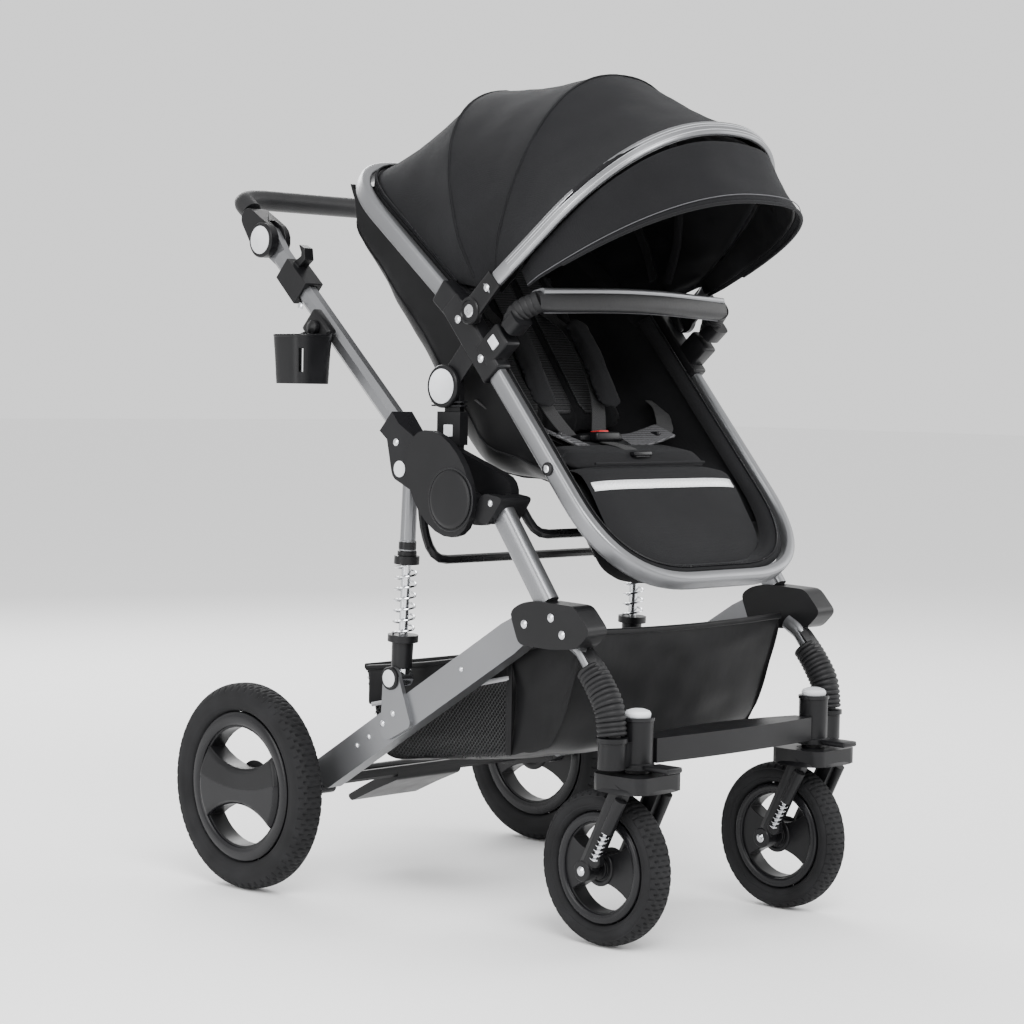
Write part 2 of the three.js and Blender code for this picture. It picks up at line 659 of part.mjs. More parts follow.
function canopyBow() {
  const angle = 136.8 * Math.PI / 180;
  const points = [];
  const steps = 18;
  for (let i = 0; i <= steps; i += 1) {
    const t = Math.PI * (0.09 + 0.82 * i / steps);
    points.push(ribPoint(angle, 335, 191, t));
  }
  const across = new THREE.Vector3(0, -Math.sin(angle), Math.cos(angle));
  const bow = tube(points, 20, 9, across, 0, 0, 8);
  const feet = RIGHT_AND_LEFT.map(([s]) => join(disc(17, CANOPY_PIVOT, ...span(s, 200, 205.5)),
    tube([[s * 202.6, ...CANOPY_PIVOT], [s * 200, -404, 831], [s * 185.5, -449, 874]],
      5, 22, ACROSS, 20)));
  return join(bow, ...feet);
}

function bumperBar() {
  const foot = LOWER.at(187, 84, 57);
  const half = [[-186, -402, 762], [-178, -428, 784]];
  const route = [[-foot[0], foot[1], foot[2]], ...half,
    ...half.map(([x, y, z]) => [-x, y, z]).reverse(), foot];
  return tube(route, 2 * BAR_R, 2 * BAR_R, new THREE.Vector3(0, 0.8, -0.6), 14, 3, 10);
}

RIGHT_AND_LEFT.forEach(([s, side]) => {
  add(`seat_block_${side}`, seatBlock(s), BLACK);
  add(`seat_adapter_${side}`, seatAdapter(s), BLACK);
  add(`adapter_button_${side}`, adapterButton(s), WHITE);
});
add('seat_frame_upper', seatFrame(UPPER, 110), ALUMINIUM);
add('seat_frame_lower', seatFrame(LOWER, 130), ALUMINIUM);
add('seat_shell', seatShell(), FABRIC);
add('canopy_hood', canopySkin(CANOPY_RIBS, 5), FABRIC);
add('canopy_visor', canopySkin(VISOR_RIBS, 5), FABRIC);
add('canopy_bow', canopyBow(), ALUMINIUM);
add('bumper_bar', bumperBar(), LEATHER);

export default model;
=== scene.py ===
"""Looks of the baby stroller, in metres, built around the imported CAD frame.

P(x, y, z) measures y from the rear axle, as the CAD source does; +X is the child's left.
"""
import json
import math

import bmesh
import bpy
from mathutils import Matrix, Vector, noise


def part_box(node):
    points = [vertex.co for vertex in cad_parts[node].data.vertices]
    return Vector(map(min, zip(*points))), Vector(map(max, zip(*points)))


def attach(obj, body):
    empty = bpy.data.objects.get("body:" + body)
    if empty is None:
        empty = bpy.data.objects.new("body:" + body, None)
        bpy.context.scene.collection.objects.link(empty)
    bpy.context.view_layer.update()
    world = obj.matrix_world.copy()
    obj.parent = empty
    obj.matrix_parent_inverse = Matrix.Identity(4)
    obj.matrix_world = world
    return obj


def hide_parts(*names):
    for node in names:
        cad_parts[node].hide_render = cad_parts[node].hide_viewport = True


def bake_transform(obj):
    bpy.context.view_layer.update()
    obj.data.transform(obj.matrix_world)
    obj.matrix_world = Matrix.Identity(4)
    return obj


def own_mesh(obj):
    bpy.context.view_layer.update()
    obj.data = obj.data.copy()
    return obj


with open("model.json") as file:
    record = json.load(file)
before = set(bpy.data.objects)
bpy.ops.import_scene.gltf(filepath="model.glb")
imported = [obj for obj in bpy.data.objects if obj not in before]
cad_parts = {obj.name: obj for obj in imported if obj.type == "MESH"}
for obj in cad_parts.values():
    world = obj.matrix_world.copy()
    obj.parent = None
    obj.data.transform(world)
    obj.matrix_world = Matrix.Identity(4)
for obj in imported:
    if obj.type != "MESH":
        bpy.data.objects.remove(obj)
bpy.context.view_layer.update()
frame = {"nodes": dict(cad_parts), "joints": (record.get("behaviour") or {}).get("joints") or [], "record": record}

JOINT = {j["name"]: Vector(j["pos_m"]) for j in frame["joints"] if "pos_m" in j}
AXLE_Y = JOINT["rear_wheel_spin_right"].y
SIDES = ((-1, "right"), (1, "left"))
X_AXIS = Vector((1, 0, 0))
Z_AXIS = Vector((0, 0, 1))


def P(x, y, z):
    return Vector((x, y + AXLE_Y, z))


# ---- driving places ----
HUB = P(0, -0.356, 0.536)
LEG_PIVOT = P(0, -0.476, 0.3895)
SHOCK_TOP = P(0, -0.250, 0.570)
SHOCK_FOOT = P(0, -0.236, 0.301)
GRIP_PIVOT = JOINT["grip_tilt"]
SEAT_PIVOT = JOINT["seat_recline"]
CANOPY_PIVOT = JOINT["canopy_fold"]
BEND = P(0, -0.300, 0.776)
LOOP_TOP = P(0, -0.063, 0.966)
LOOP_FOOT = P(0, -0.587, 0.442)
SEAT_X = 0.186
TUBE_X = 0.218
SHELL_X = 0.171


class Plane:
    """A plane of the seat frame: at(x, far, above) with above on the child's side."""

    def __init__(self, towards, side):
        run = towards - BEND
        self.length = run.length
        self.along = run.normalized()
        self.up = Vector((0, -self.along.z * side, self.along.y * side))

    def at(self, x, far, above=0.0):
        return Vector((x, 0, 0)) + BEND + self.along * far + self.up * above


UPPER = Plane(LOOP_TOP, 1)
LOWER = Plane(LOOP_FOOT, -1)


# ---- mesh helpers ----
def new_object(name, data):
    obj = bpy.data.objects.new(name, data)
    bpy.context.scene.collection.objects.link(obj)
    return obj


def build(name, verts, faces, *mats, smooth=40.0):
    mesh = bpy.data.meshes.new(name)
    mesh.from_pydata([tuple(v) for v in verts], [], faces)
    bm = bmesh.new()
    bm.from_mesh(mesh)
    bmesh.ops.recalc_face_normals(bm, faces=bm.faces)
    bm.to_mesh(mesh)
    bm.free()
    for mat in mats:
        mesh.materials.append(mat)
    soften(mesh, smooth)
    return new_object(name, mesh)


def soften(mesh, degrees):
    for face in mesh.polygons:
        face.use_smooth = True
    mesh.set_sharp_from_angle(angle=math.radians(degrees))


def put(obj, body, slot, *replaced):
    """Rides the piece on its body and hides the CAD nodes it stands for; slot is not used."""
    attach(obj, body)
    if replaced:
        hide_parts(*replaced)
    return obj


def smooth_path(points, steps):
    """A Catmull-Rom curve through the points, steps to each span."""
    points = [Vector(p) for p in points]
    if len(points) < 3:
        return [points[0].lerp(points[-1], i / steps) for i in range(steps + 1)]
    ends = [2 * points[0] - points[1]] + points + [2 * points[-1] - points[-2]]
    out = []
    for a, b, c, d in zip(ends, ends[1:], ends[2:], ends[3:]):
        for i in range(steps):
            t = i / steps
            out.append(0.5 * (2 * b + (c - a) * t + (2 * a - 5 * b + 4 * c - d) * t * t
                              + (3 * b - a - 3 * c + d) * t ** 3))
    out.append(points[-1])
    return out


def filleted(points, reach, steps=10):
    """The polyline with each inner corner rounded over a reach along both its sides."""
    out = [Vector(points[0])]
    for a, b, c in zip(points, points[1:], points[2:]):
        a, b, c = Vector(a), Vector(b), Vector(c)
        p = b + (a - b).normalized() * min(reach, (a - b).length * 0.49)
        q = b + (c - b).normalized() * min(reach, (c - b).length * 0.49)
        for i in range(steps + 1):
            t = i / steps
            out.append(p * (1 - t) ** 2 + b * (2 * t * (1 - t)) + q * t * t)
    out.append(Vector(points[-1]))
    return out


def even(path, count):
    """The path resampled to count equal steps."""
    marks = [0.0]
    for a, b in zip(path, path[1:]):
        marks.append(marks[-1] + (b - a).length)
    out = []
    k = 0
    for i in range(count + 1):
        want = marks[-1] * i / count
        while k < len(marks) - 2 and marks[k + 1] < want:
            k += 1
        gap = marks[k + 1] - marks[k]
        out.append(path[k].lerp(path[k + 1], (want - marks[k]) / gap if gap else 0))
    return out


def round_section(width, height, power=1.0, sides=16):
    """A section outline: power 1 is an ellipse, smaller is squarer."""
    out = []
    for i in range(sides):
        a = 2 * math.pi * i / sides
        c, s = math.cos(a), math.sin(a)
        out.append((width / 2 * math.copysign(abs(c) ** power, c),
                    height / 2 * math.copysign(abs(s) ** power, s)))
    return out


def sweep(name, path, section, across, *mats, scale=None, smooth=40.0, closed=False):
    """section swept along path, its first axis kept towards the across direction."""
    across = Vector(across)
    count, ring = len(path), len(section)
    verts = []
    for i, p in enumerate(path):
        before = path[i - 1] if i or closed else path[0]
        after = path[(i + 1) % count] if i < count - 1 or closed else path[-1]
        run = (after - before).normalized()
        side = across - run * across.dot(run)
        side = side.normalized() if side.length > 1e-4 else run.orthogonal().normalized()
        other = run.cross(side)
        grow = scale(i / (count - 1)) if scale else 1.0
        verts += [p + side * u * grow + other * v * grow for u, v in section]
    faces = [(i * ring + j, i * ring + (j + 1) % ring, (i + 1) % count * ring + (j + 1) % ring,
              (i + 1) % count * ring + j)
             for i in range(count if closed else count - 1) for j in range(ring)]
    if not closed:
        faces += [tuple(range(ring)), tuple(range((count - 1) * ring, count * ring))]
    return build(name, verts, faces, *mats, smooth=smooth)


def rod(name, start, end, width, mat, sides=20):
    """A straight round bar."""
    return sweep(name, [start, start.lerp(end, 0.5), end], round_section(width, width, 1, sides),
                 X_AXIS, mat)


def coil(name, path, radius, wire, turns, mat, sides=8):
    """A helical spring round a straight path."""
    start, end = path
    axis = (end - start).normalized()
    a = axis.orthogonal().normalized()
    b = axis.cross(a)
    steps = int(turns * 18)
    line = []
    for i in range(steps + 1):
        turn = 2 * math.pi * turns * i / steps
        line.append(start.lerp(end, i / steps) + (a * math.cos(turn) + b * math.sin(turn)) * radius)
    return sweep(name, line, round_section(wire, wire, 1, sides), axis, mat)


def turned(centre, axis, profile, segments):
    """Rows of points round an axis, one row of the (radius, height) profile to each step."""
    axis = Vector(axis).normalized()
    a = axis.orthogonal().normalized()
    b = axis.cross(a)
    angles = [2 * math.pi * j / segments for j in range(segments)]
    return [[Vector(centre) + axis * h + (a * math.cos(t) + b * math.sin(t)) * r
             for r, h in profile] for t in angles]


def lathe(name, centre, axis, profile, mat, segments=40, smooth=32.0):
    """A solid turned from a profile of (radius, distance along the axis)."""
    rows = turned(centre, axis, profile, segments)
    n = len(profile)
    faces = [(i * n + k, i * n + k + 1, (i + 1) % segments * n + k + 1, (i + 1) % segments * n + k)
             for i in range(segments) for k in range(n - 1)]
    faces += [tuple(i * n + k for i in range(segments)) for k in (0, n - 1)]
    return build(name, [p for row in rows for p in row], faces, mat, smooth=smooth)


def button_profile(radius, height, dome=0.3):
    """A flat-topped round head with a rounded rim."""
    edge = min(radius, height) * 0.35
    return [(radius * 0.98, 0), (radius, height * 0.1), (radius, height - edge),
            (radius - edge * 0.3, height - edge * 0.3), (radius - edge, height),
            (radius * 0.5, height + height * dome * 0.7), (radius * 0.02, height * (1 + dome))]


def cap(s, place, out, profile, mat, segments=40):
    """A turned piece on side s, its base at a distance out from the middle plane."""
    return lathe("cap", place + X_AXIS * s * out, X_AXIS * s, profile, mat, segments)


def grid(name, rows, *mats, smooth=60.0, thickness=None, wrap=False):
    """A surface through rows of points: open, wrapped both ways, or thickened to a skin."""
    n, m = len(rows), len(rows[0])
    verts = [p for row in rows for p in row]
    faces = [(i * m + j, i * m + (j + 1) % m, (i + 1) % n * m + (j + 1) % m, (i + 1) % n * m + j)
             for i in range(n if wrap else n - 1) for j in range(m if wrap else m - 1)]
    obj = build(name, verts, faces, *mats, smooth=smooth)
    return thicken(obj, thickness) if thickness else obj


def apply_modifiers(obj):
    graph = bpy.context.evaluated_depsgraph_get()
    mesh = bpy.data.meshes.new_from_object(obj.evaluated_get(graph))
    obj.modifiers.clear()
    old = obj.data
    obj.data = mesh
    bpy.data.meshes.remove(old)
    return obj


def thicken(obj, thickness):
    shell = obj.modifiers.new("skin", "SOLIDIFY")
    shell.thickness = thickness
    shell.offset = 0
    return apply_modifiers(obj)


def rounded_block(name, centre, size, mat, turn=None, radius=0.003):
    """A moulded block: a box with rounded edges, turned about its centre."""
    bm = bmesh.new()
    bmesh.ops.create_cube(bm, size=1)
    bmesh.ops.scale(bm, vec=size, verts=bm.verts)
    bmesh.ops.bevel(bm, geom=bm.edges[:], offset=radius, segments=3, profile=0.5, affect="EDGES")
    if turn is not None:
        bmesh.ops.transform(bm, matrix=turn.to_4x4(), verts=bm.verts)
    bmesh.ops.translate(bm, vec=Vector(centre), verts=bm.verts)
    mesh = bpy.data.meshes.new(name)
    bm.to_mesh(mesh)
    bm.free()
    mesh.materials.append(mat)
    soften(mesh, 40)
    return new_object(name, mesh)


def merge(name, objects):
    """Joins objects that have the same body into one piece."""
    bm = bmesh.new()
    mats = []
    for obj in objects:
        start = len(bm.faces)
        bm.from_mesh(obj.data)
        bm.faces.ensure_lookup_table()
        index = []
        for mat in obj.data.materials:
            if mat not in mats:
                mats.append(mat)
            index.append(mats.index(mat))
        for face in bm.faces[start:]:
            face.material_index = index[face.material_index] if index else 0
    mesh = bpy.data.meshes.new(name)
    bm.to_mesh(mesh)
    bm.free()
    for mat in mats:
        mesh.materials.append(mat)
    for obj in objects:
        bpy.data.objects.remove(obj)
    return new_object(name, mesh)


# ---- materials ----
class Nodes:
    """A material's node tree with short ways to add and link nodes."""

    def __init__(self, name, colour, roughness, metallic=0.0):
        self.mat = bpy.data.materials.new(name)
        self.mat.use_nodes = True
        self.tree = self.mat.node_tree
        self.shader = self.tree.nodes["Principled BSDF"]
        self.shader.inputs["Base Color"].default_value = (*colour, 1)
        self.shader.inputs["Roughness"].default_value = roughness
        self.shader.inputs["Metallic"].default_value = metallic
        self.colour = colour
        self.place = self.tree.nodes.new("ShaderNodeTexCoord").outputs["Object"]
        self.height = None

    def set(self, **values):
        for key, value in values.items():
            self.shader.inputs[key.replace("_", " ")].default_value = value
        return self

    def noise(self, scale, detail=3.0, stretch=None):
        node = self.tree.nodes.new("ShaderNodeTexNoise")
        node.inputs["Scale"].default_value = scale
        node.inputs["Detail"].default_value = detail
        place = self.place
        if stretch:
            mapping = self.tree.nodes.new("ShaderNodeMapping")
            mapping.inputs["Scale"].default_value = stretch
            self.tree.links.new(place, mapping.inputs["Vector"])
            place = mapping.outputs["Vector"]
        self.tree.links.new(place, node.inputs["Vector"])
        return node.outputs["Fac"]

    def wave(self, scale, direction, distortion=0.5):
        node = self.tree.nodes.new("ShaderNodeTexWave")
        node.bands_direction = direction
        node.inputs["Scale"].default_value = scale
        node.inputs["Distortion"].default_value = distortion
        node.inputs["Detail"].default_value = 1
        self.tree.links.new(self.place, node.inputs["Vector"])
        return node.outputs["Fac"]

    def cells(self, scale, randomness=1.0):
        node = self.tree.nodes.new("ShaderNodeTexVoronoi")
        node.inputs["Scale"].default_value = scale
        node.inputs["Randomness"].default_value = randomness
        self.tree.links.new(self.place, node.inputs["Vector"])
        return node.outputs["Distance"]

    def math(self, kind, a, b):
        node = self.tree.nodes.new("ShaderNodeMath")
        node.operation = kind
        for socket, value in zip(node.inputs, (a, b)):
            if isinstance(value, (int, float)):
                socket.default_value = value
            else:
                self.tree.links.new(value, socket)
        return node.outputs[0]

    def span(self, source, low, high):
        node = self.tree.nodes.new("ShaderNodeMapRange")
        node.inputs["To Min"].default_value = low
        node.inputs["To Max"].default_value = high
        self.tree.links.new(source, node.inputs["Value"])
        return node.outputs["Result"]

    def tint(self, source, dark, bright):
        """Base colour between dark and bright shares of the colour, by the source."""
        ramp = self.tree.nodes.new("ShaderNodeValToRGB")
        ramp.color_ramp.elements[0].color = (*[c * dark for c in self.colour], 1)
        ramp.color_ramp.elements[1].color = (*[min(1, c * bright) for c in self.colour], 1)
        ramp.color_ramp.elements[0].position = 0.3
        ramp.color_ramp.elements[1].position = 0.7
        self.tree.links.new(source, ramp.inputs["Fac"])
        self.tree.links.new(ramp.outputs["Color"], self.shader.inputs["Base Color"])
        return self

    def rough(self, source, low, high):
        self.tree.links.new(self.span(source, low, high), self.shader.inputs["Roughness"])
        return self

    def bump(self, source, distance, strength=1.0):
        """Adds a layer of bump, distance in metres."""
        node = self.tree.nodes.new("ShaderNodeBump")
        node.inputs["Distance"].default_value = distance
        node.inputs["Strength"].default_value = strength
        self.tree.links.new(source, node.inputs["Height"])
        if self.height is not None:
            self.tree.links.new(self.height, node.inputs["Normal"])
        self.height = node.outputs["Normal"]
        self.tree.links.new(self.height, self.shader.inputs["Normal"])
        return self


def aluminium():
    n = Nodes("satin_aluminium", (0.205, 0.208, 0.216), 0.34, 0.85)
    streak = n.noise(90, 4, (1, 0.12, 0.12))
    n.rough(streak, 0.30, 0.42).tint(n.noise(6), 0.93, 1.07)
    return n.bump(n.noise(1400, 2), 0.00002).mat


def plastic(name, colour, roughness, grain=0.00003):
    n = Nodes(name, colour, roughness)
    n.set(Specular_IOR_Level=0.22)
    n.tint(n.noise(14, 4), 0.8, 1.25).rough(n.noise(40, 4), roughness - 0.07, roughness + 0.08)
    return n.bump(n.noise(1600, 2), grain).mat


def chrome():
    n = Nodes("chrome_steel", (0.62, 0.63, 0.65), 0.18, 1.0)
    return n.rough(n.noise(60), 0.12, 0.26).tint(n.noise(20), 0.9, 1.08).mat


def tyre_rubber():
    n = Nodes("tyre_rubber", (0.0095, 0.0095, 0.0102), 0.78).set(Specular_IOR_Level=0.18)
    n.tint(n.noise(30, 5), 0.75, 1.5).rough(n.noise(60, 3), 0.68, 0.88)
    return n.bump(n.noise(900, 3), 0.00010).mat


def rubber():
    n = Nodes("ribbed_rubber", (0.0075, 0.0075, 0.0082), 0.5).set(Specular_IOR_Level=0.25)
    n.tint(n.noise(25, 4), 0.8, 1.3).rough(n.noise(50), 0.46, 0.62)
    return n.bump(n.noise(1200, 2), 0.00004).mat


def woven(name, colour, roughness, sheen, pitch=2600.0):
    n = Nodes(name, colour, roughness)
    n.set(Sheen_Weight=sheen, Sheen_Roughness=0.45, Sheen_Tint=(0.75, 0.77, 0.8, 1),
          Specular_IOR_Level=0.14)
    warp = n.math("MULTIPLY", n.wave(pitch / 6, "X"), n.wave(pitch / 6, "Z"))
    weft = n.math("ADD", warp, n.wave(pitch / 6, "Y"))
    speck = n.noise(pitch / 2, 2)
    n.tint(n.math("MULTIPLY", speck, n.math("ADD", 0.6, n.noise(9, 3))), 0.75, 1.45)
    n.rough(n.noise(30), roughness - 0.06, roughness + 0.06)
    return n.bump(n.noise(28, 3), 0.0009, 0.35).bump(weft, 0.00012).bump(speck, 0.0001).mat


def nylon(name, colour, roughness, coat, crinkle=0.0012):
    n = Nodes(name, colour, roughness)
    n.set(Coat_Weight=coat, Coat_Roughness=0.32, Sheen_Weight=0.02, Specular_IOR_Level=0.12)
    fine = n.noise(1500, 2)
    n.tint(n.noise(18, 3), 0.75, 1.35).rough(n.noise(26, 3), roughness - 0.08, roughness + 0.1)
    n.bump(n.noise(20, 3, (1, 1, 0.45)), crinkle, 0.8)
    return n.bump(fine, 0.00006).mat


def mesh_fabric(name, grey):
    n = Nodes(name, (grey, grey, grey * 1.05), 0.7)
    holes = n.cells(370, 0.12)
    n.tint(holes, 3.0, 0.25).rough(holes, 0.5, 0.85)
    n.set(Specular_IOR_Level=0.2)
    return n.bump(holes, 0.0003).mat


def leather():
    n = Nodes("grained_leather", (0.0065, 0.0065, 0.0072), 0.48)
    grain = n.cells(700)
    n.tint(n.noise(40, 4), 0.8, 1.4).rough(grain, 0.38, 0.56)
    n.set(Coat_Weight=0.05, Coat_Roughness=0.4, Specular_IOR_Level=0.3)
    return n.bump(grain, 0.00016).bump(n.noise(120, 3), 0.0002, 0.5).mat


def webbing():
    n = Nodes("webbing", (0.014, 0.014, 0.015), 0.7)
    rib = n.wave(420, "DIAGONAL", 0.0)
    n.tint(rib, 0.6, 2.0).set(Sheen_Weight=0.05, Sheen_Roughness=0.4)
    return n.rough(rib, 0.55, 0.8).bump(rib, 0.0003).mat


def reflective():
    n = Nodes("reflective_strip", (0.82, 0.83, 0.84), 0.38, 0.0)
    n.tint(n.cells(500), 0.85, 1.08).rough(n.noise(80), 0.28, 0.5)
    return n.bump(n.cells(500), 0.00008).mat


ALUMINIUM = aluminium()
PLASTIC = plastic("moulded_plastic", (0.0055, 0.0055, 0.0062), 0.38)
GLOSSY = plastic("gloss_plastic", (0.008, 0.008, 0.009), 0.24, 0.00001)
PALE = plastic("pale_plastic", (0.60, 0.61, 0.63), 0.38, 0.00001)
RED = plastic("red_plastic", (0.55, 0.03, 0.03), 0.35, 0.00001)
BLACK_METAL = plastic("painted_steel", (0.008, 0.008, 0.009), 0.28, 0.00001)
CHROME = chrome()
TYRE = tyre_rubber()
RUBBER = rubber()
CANOPY = woven("canopy_polyester", (0.0070, 0.0070, 0.0078), 0.86, 0.05)
SEAT_FABRIC = woven("seat_polyester", (0.0065, 0.0065, 0.0072), 0.78, 0.05)
NYLON = nylon("coated_nylon", (0.0045, 0.0045, 0.005), 0.46, 0.04)
LINING = nylon("lining_nylon", (0.006, 0.006, 0.0066), 0.45, 0.08, 0.002)
AIR_MESH = mesh_fabric("air_mesh", 0.016)
GREY_MESH = mesh_fabric("grey_mesh", 0.045)
LEATHER = leather()
WEBBING = webbing()
REFLECTIVE = reflective()
PIPING = woven("grey_piping", (0.30, 0.30, 0.31), 0.7, 0.2)
THREAD = woven("thread", (0.075, 0.075, 0.08), 0.7, 0.1)

SLOT_LOOK = {"frame": ALUMINIUM, "plastic": PLASTIC, "spring_steel": CHROME, "tyre": TYRE,
             "rubber": RUBBER, "fabric": CANOPY, "nylon": NYLON, "leather": LEATHER,
             "button": PALE, "black_metal": BLACK_METAL}


# ---- CAD nodes that stay ----
def dress_nodes():
    """Every CAD node gets its slot's material and softly rounded edges."""
    slots = {row["node"]: row["material_slot"] for row in frame["record"]["subparts"]}
    for name, obj in frame["nodes"].items():
        mesh = obj.data
        mesh.materials.clear()
        mesh.materials.append(SLOT_LOOK[slots[name]])
        if "custom_normal" in mesh.attributes:
            mesh.attributes.remove(mesh.attributes["custom_normal"])
        for face in mesh.polygons:
            face.use_smooth = True
            face.material_index = 0
        weld = obj.modifiers.new("weld", "WELD")
        weld.merge_threshold = 0.00002
        bevel = obj.modifiers.new("rounding", "BEVEL")
        bevel.width = 0.0011
        bevel.segments = 2
        bevel.limit_method = "ANGLE"
        bevel.angle_limit = math.radians(36)
        bevel.harden_normals = True
        normal = obj.modifiers.new("normals", "WEIGHTED_NORMAL")
        normal.keep_sharp = True


dress_nodes()

# ---- wheels ----
def tyre(kind, side, blocks):
    """A tyre with a block tread, made round the CAD tyre's own box."""
    low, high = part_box(f"{kind}_tyre_{side}")
    rim_low, rim_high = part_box(f"{kind}_rim_{side}")
    centre = (low + high) / 2
    radius, inner = (high.z - low.z) / 2, (rim_high.z - rim_low.z) / 2 + 0.0004
    half = (high.x - low.x) / 2
    middle, depth = (radius + inner) / 2, (radius - inner) / 2
    around, section, lanes = blocks * 6, 44, 3.5
    tread_groove, wall_ring = 0.0026, 0.0009
    rows = []
    for i in range(around):
        turn = 2 * math.pi * i / around
        row = []
        for j in range(section):
            a = 2 * math.pi * j / section
            c, s = math.cos(a), math.sin(a)
            x = half * math.copysign(abs(c) ** 0.72, c)
            r = middle + depth * math.copysign(abs(s) ** 0.8, s)
            lane = (x / half + 1) * lanes
            if s > 0.42:
                cut = (i + int(lane) * 3) % 6 < 1 or abs(lane % 1 - 0.5) > 0.42
                r -= tread_groove if cut else 0
            elif s > -0.6 and j % 4 == 0:
                x -= math.copysign(wall_ring, x)
            row.append(centre + Vector((x, r * math.sin(turn), r * math.cos(turn))))
        rows.append(row)
    obj = grid(f"{kind}_tyre_skin_{side}", rows, TYRE, smooth=34, wrap=True)
    put(obj, f"{kind}_wheel_{side}", "tyre", f"{kind}_tyre_{side}")


def ring(name, centre, axis, profile, mat):
    """A closed ring: the profile's last point joins its first."""
    return grid(name, turned(centre, axis, profile, 72), mat, smooth=35, wrap=True)


def bead_profile(r0, r1, height):
    """A half-round bead between two radii, from a face outwards."""
    steps, sunk = 10, -0.0005
    out = []
    for i in range(steps + 1):
        t = math.pi * i / steps
        out.append(((r0 + r1) / 2 - (r1 - r0) / 2 * math.cos(t),
                    height * math.sin(t) ** 0.6 if 0 < i < steps else sunk))
    return out


def rim_trim(kind, s, side):
    """The rolled edges of a rim, with the hub's ring or the rear wheel's band."""
    low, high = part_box(f"{kind}_rim_{side}")
    centre = (low + high) / 2
    radius = (high.z - low.z) / 2
    face = (high.x - low.x) / 2 - 0.004
    rolled = bead_profile(radius * 0.83, radius * 1.01, 0.0042)
    hub_ring = bead_profile(radius * 0.24, radius * 0.33, 0.0022)
    parts = []
    for out in (-1, 1):
        at = centre + X_AXIS * out * face
        parts.append(ring("bead", at, X_AXIS * out, rolled, GLOSSY))
        if kind == "front" or out != s:
            parts.append(ring("bead", at, X_AXIS * out, hub_ring, PLASTIC))
    if kind == "rear":
        parts.append(rim_band(centre + X_AXIS * s * face, s, radius))
    put(merge(f"{kind}_rim_trim_{side}", parts), f"{kind}_wheel_{side}", "plastic")


def rim_band(place, s, outer):
    """The raised band across a rear wheel, glossy below the crease that runs along it."""
    bow, dip, reach, lift = outer * 1.05, outer * 0.24, outer * 0.83, 0.0068
    rows = []
    for i in range(61):
        y = reach * math.sin(math.pi / 2 * (i / 30 - 1))
        half = min(dip + bow - math.sqrt(bow * bow - y * y), math.sqrt(reach ** 2 - y * y) + 0.0001)
        crease = max(-0.8 * half, min(0.8 * half, rim_crease(y, outer)))
        row = []
        for j in range(33):
            share = math.sin(math.pi / 2 * (j / 16 - 1))
            z = crease + share * (half - crease if share > 0 else half + crease)
            edge = min(half - abs(z), reach - math.hypot(y, z))
            out = lift * math.sqrt(max(0.0, min(1.0, edge / 0.005)))
            above = max(0.0, z - crease)
            row.append(place + Vector((s * max(0.0, out - above * 0.10), y, z)))
        rows.append(row)
    band = grid("band", rows, PLASTIC, GLOSSY, smooth=30, thickness=0.0010)
    for face in band.data.polygons:
        away = face.center - place
        face.material_index = 1 if away.z < rim_crease(away.y, outer) else 0
    return band


def rim_crease(y, outer):
    return outer * (0.22 * (y / outer) ** 2 - 0.03)


# ---- frame ----
def loop(name, plane, reach):
    """One half of the seat's frame, a flat tube bent to a rounded U."""
    path = filleted([plane.at(-SEAT_X, 0.0025), plane.at(-SEAT_X, plane.length),
                     plane.at(SEAT_X, plane.length), plane.at(SEAT_X, 0.0025)], reach, 18)
    obj = sweep(f"{name}_tube", path, round_section(0.024, 0.015, 0.5, 24), plane.up, ALUMINIUM)
    put(obj, "seat_unit", "frame", name)


def front_tubes():
    for s, side in SIDES:
        top, foot = P(s * TUBE_X, -0.416, 0.524), P(s * TUBE_X, -0.4985, 0.415)
        tube = sweep(f"front_tube_skin_{side}", [top.lerp(foot, i / 6) for i in range(7)],
                     round_section(0.022, 0.030, 0.62, 24), X_AXIS, ALUMINIUM)
        put(tube, "chassis", "frame", f"front_tube_{side}")


def seat_blocks():
    """The seat's side blocks: tube sockets, canopy and bumper branches and the recline arm."""
    eye = [(0.0262, 0), (0.0262, 0.0049), (0.0240, 0.0052), (0.001, 0.0052)]
    for s, side in SIDES:
        parts = [bar(s, LOWER.at(0, -0.010), LOWER.at(0, 0.112), 0.0350, 0.1740, 0.1990),
                 bar(s, UPPER.at(0, -0.010), UPPER.at(0, 0.036), 0.0342, 0.1746, 0.1984),
                 bar(s, LOWER.at(0, 0.084), LOWER.at(0, 0.084, 0.048), 0.0345, 0.1745, 0.1994),
                 bar(s, LOWER.at(0, 0.024), CANOPY_PIVOT, 0.0290, 0.1895, 0.1978),
                 bar(s, LOWER.at(0, 0.060), SEAT_PIVOT, 0.0320, 0.1946, 0.1970, 0.0010),
                 cap(s, SEAT_PIVOT, 0.1946, eye, PLASTIC, 52)]
        put(merge(f"seat_block_shell_{side}", parts), "seat_unit", "plastic", f"seat_block_{side}")


def bar(s, start, end, wide, inner, outer, radius=0.0035):
    """A rounded bar from start to end in the middle plane, between two distances out."""
    run = end - start
    turn = Matrix.Rotation(math.atan2(run.z, run.y), 3, "X")
    middle = (start + end) / 2 + X_AXIS * s * (inner + outer) / 2
    return rounded_block("bar", middle, (outer - inner, run.length, wide), PLASTIC, turn, radius)


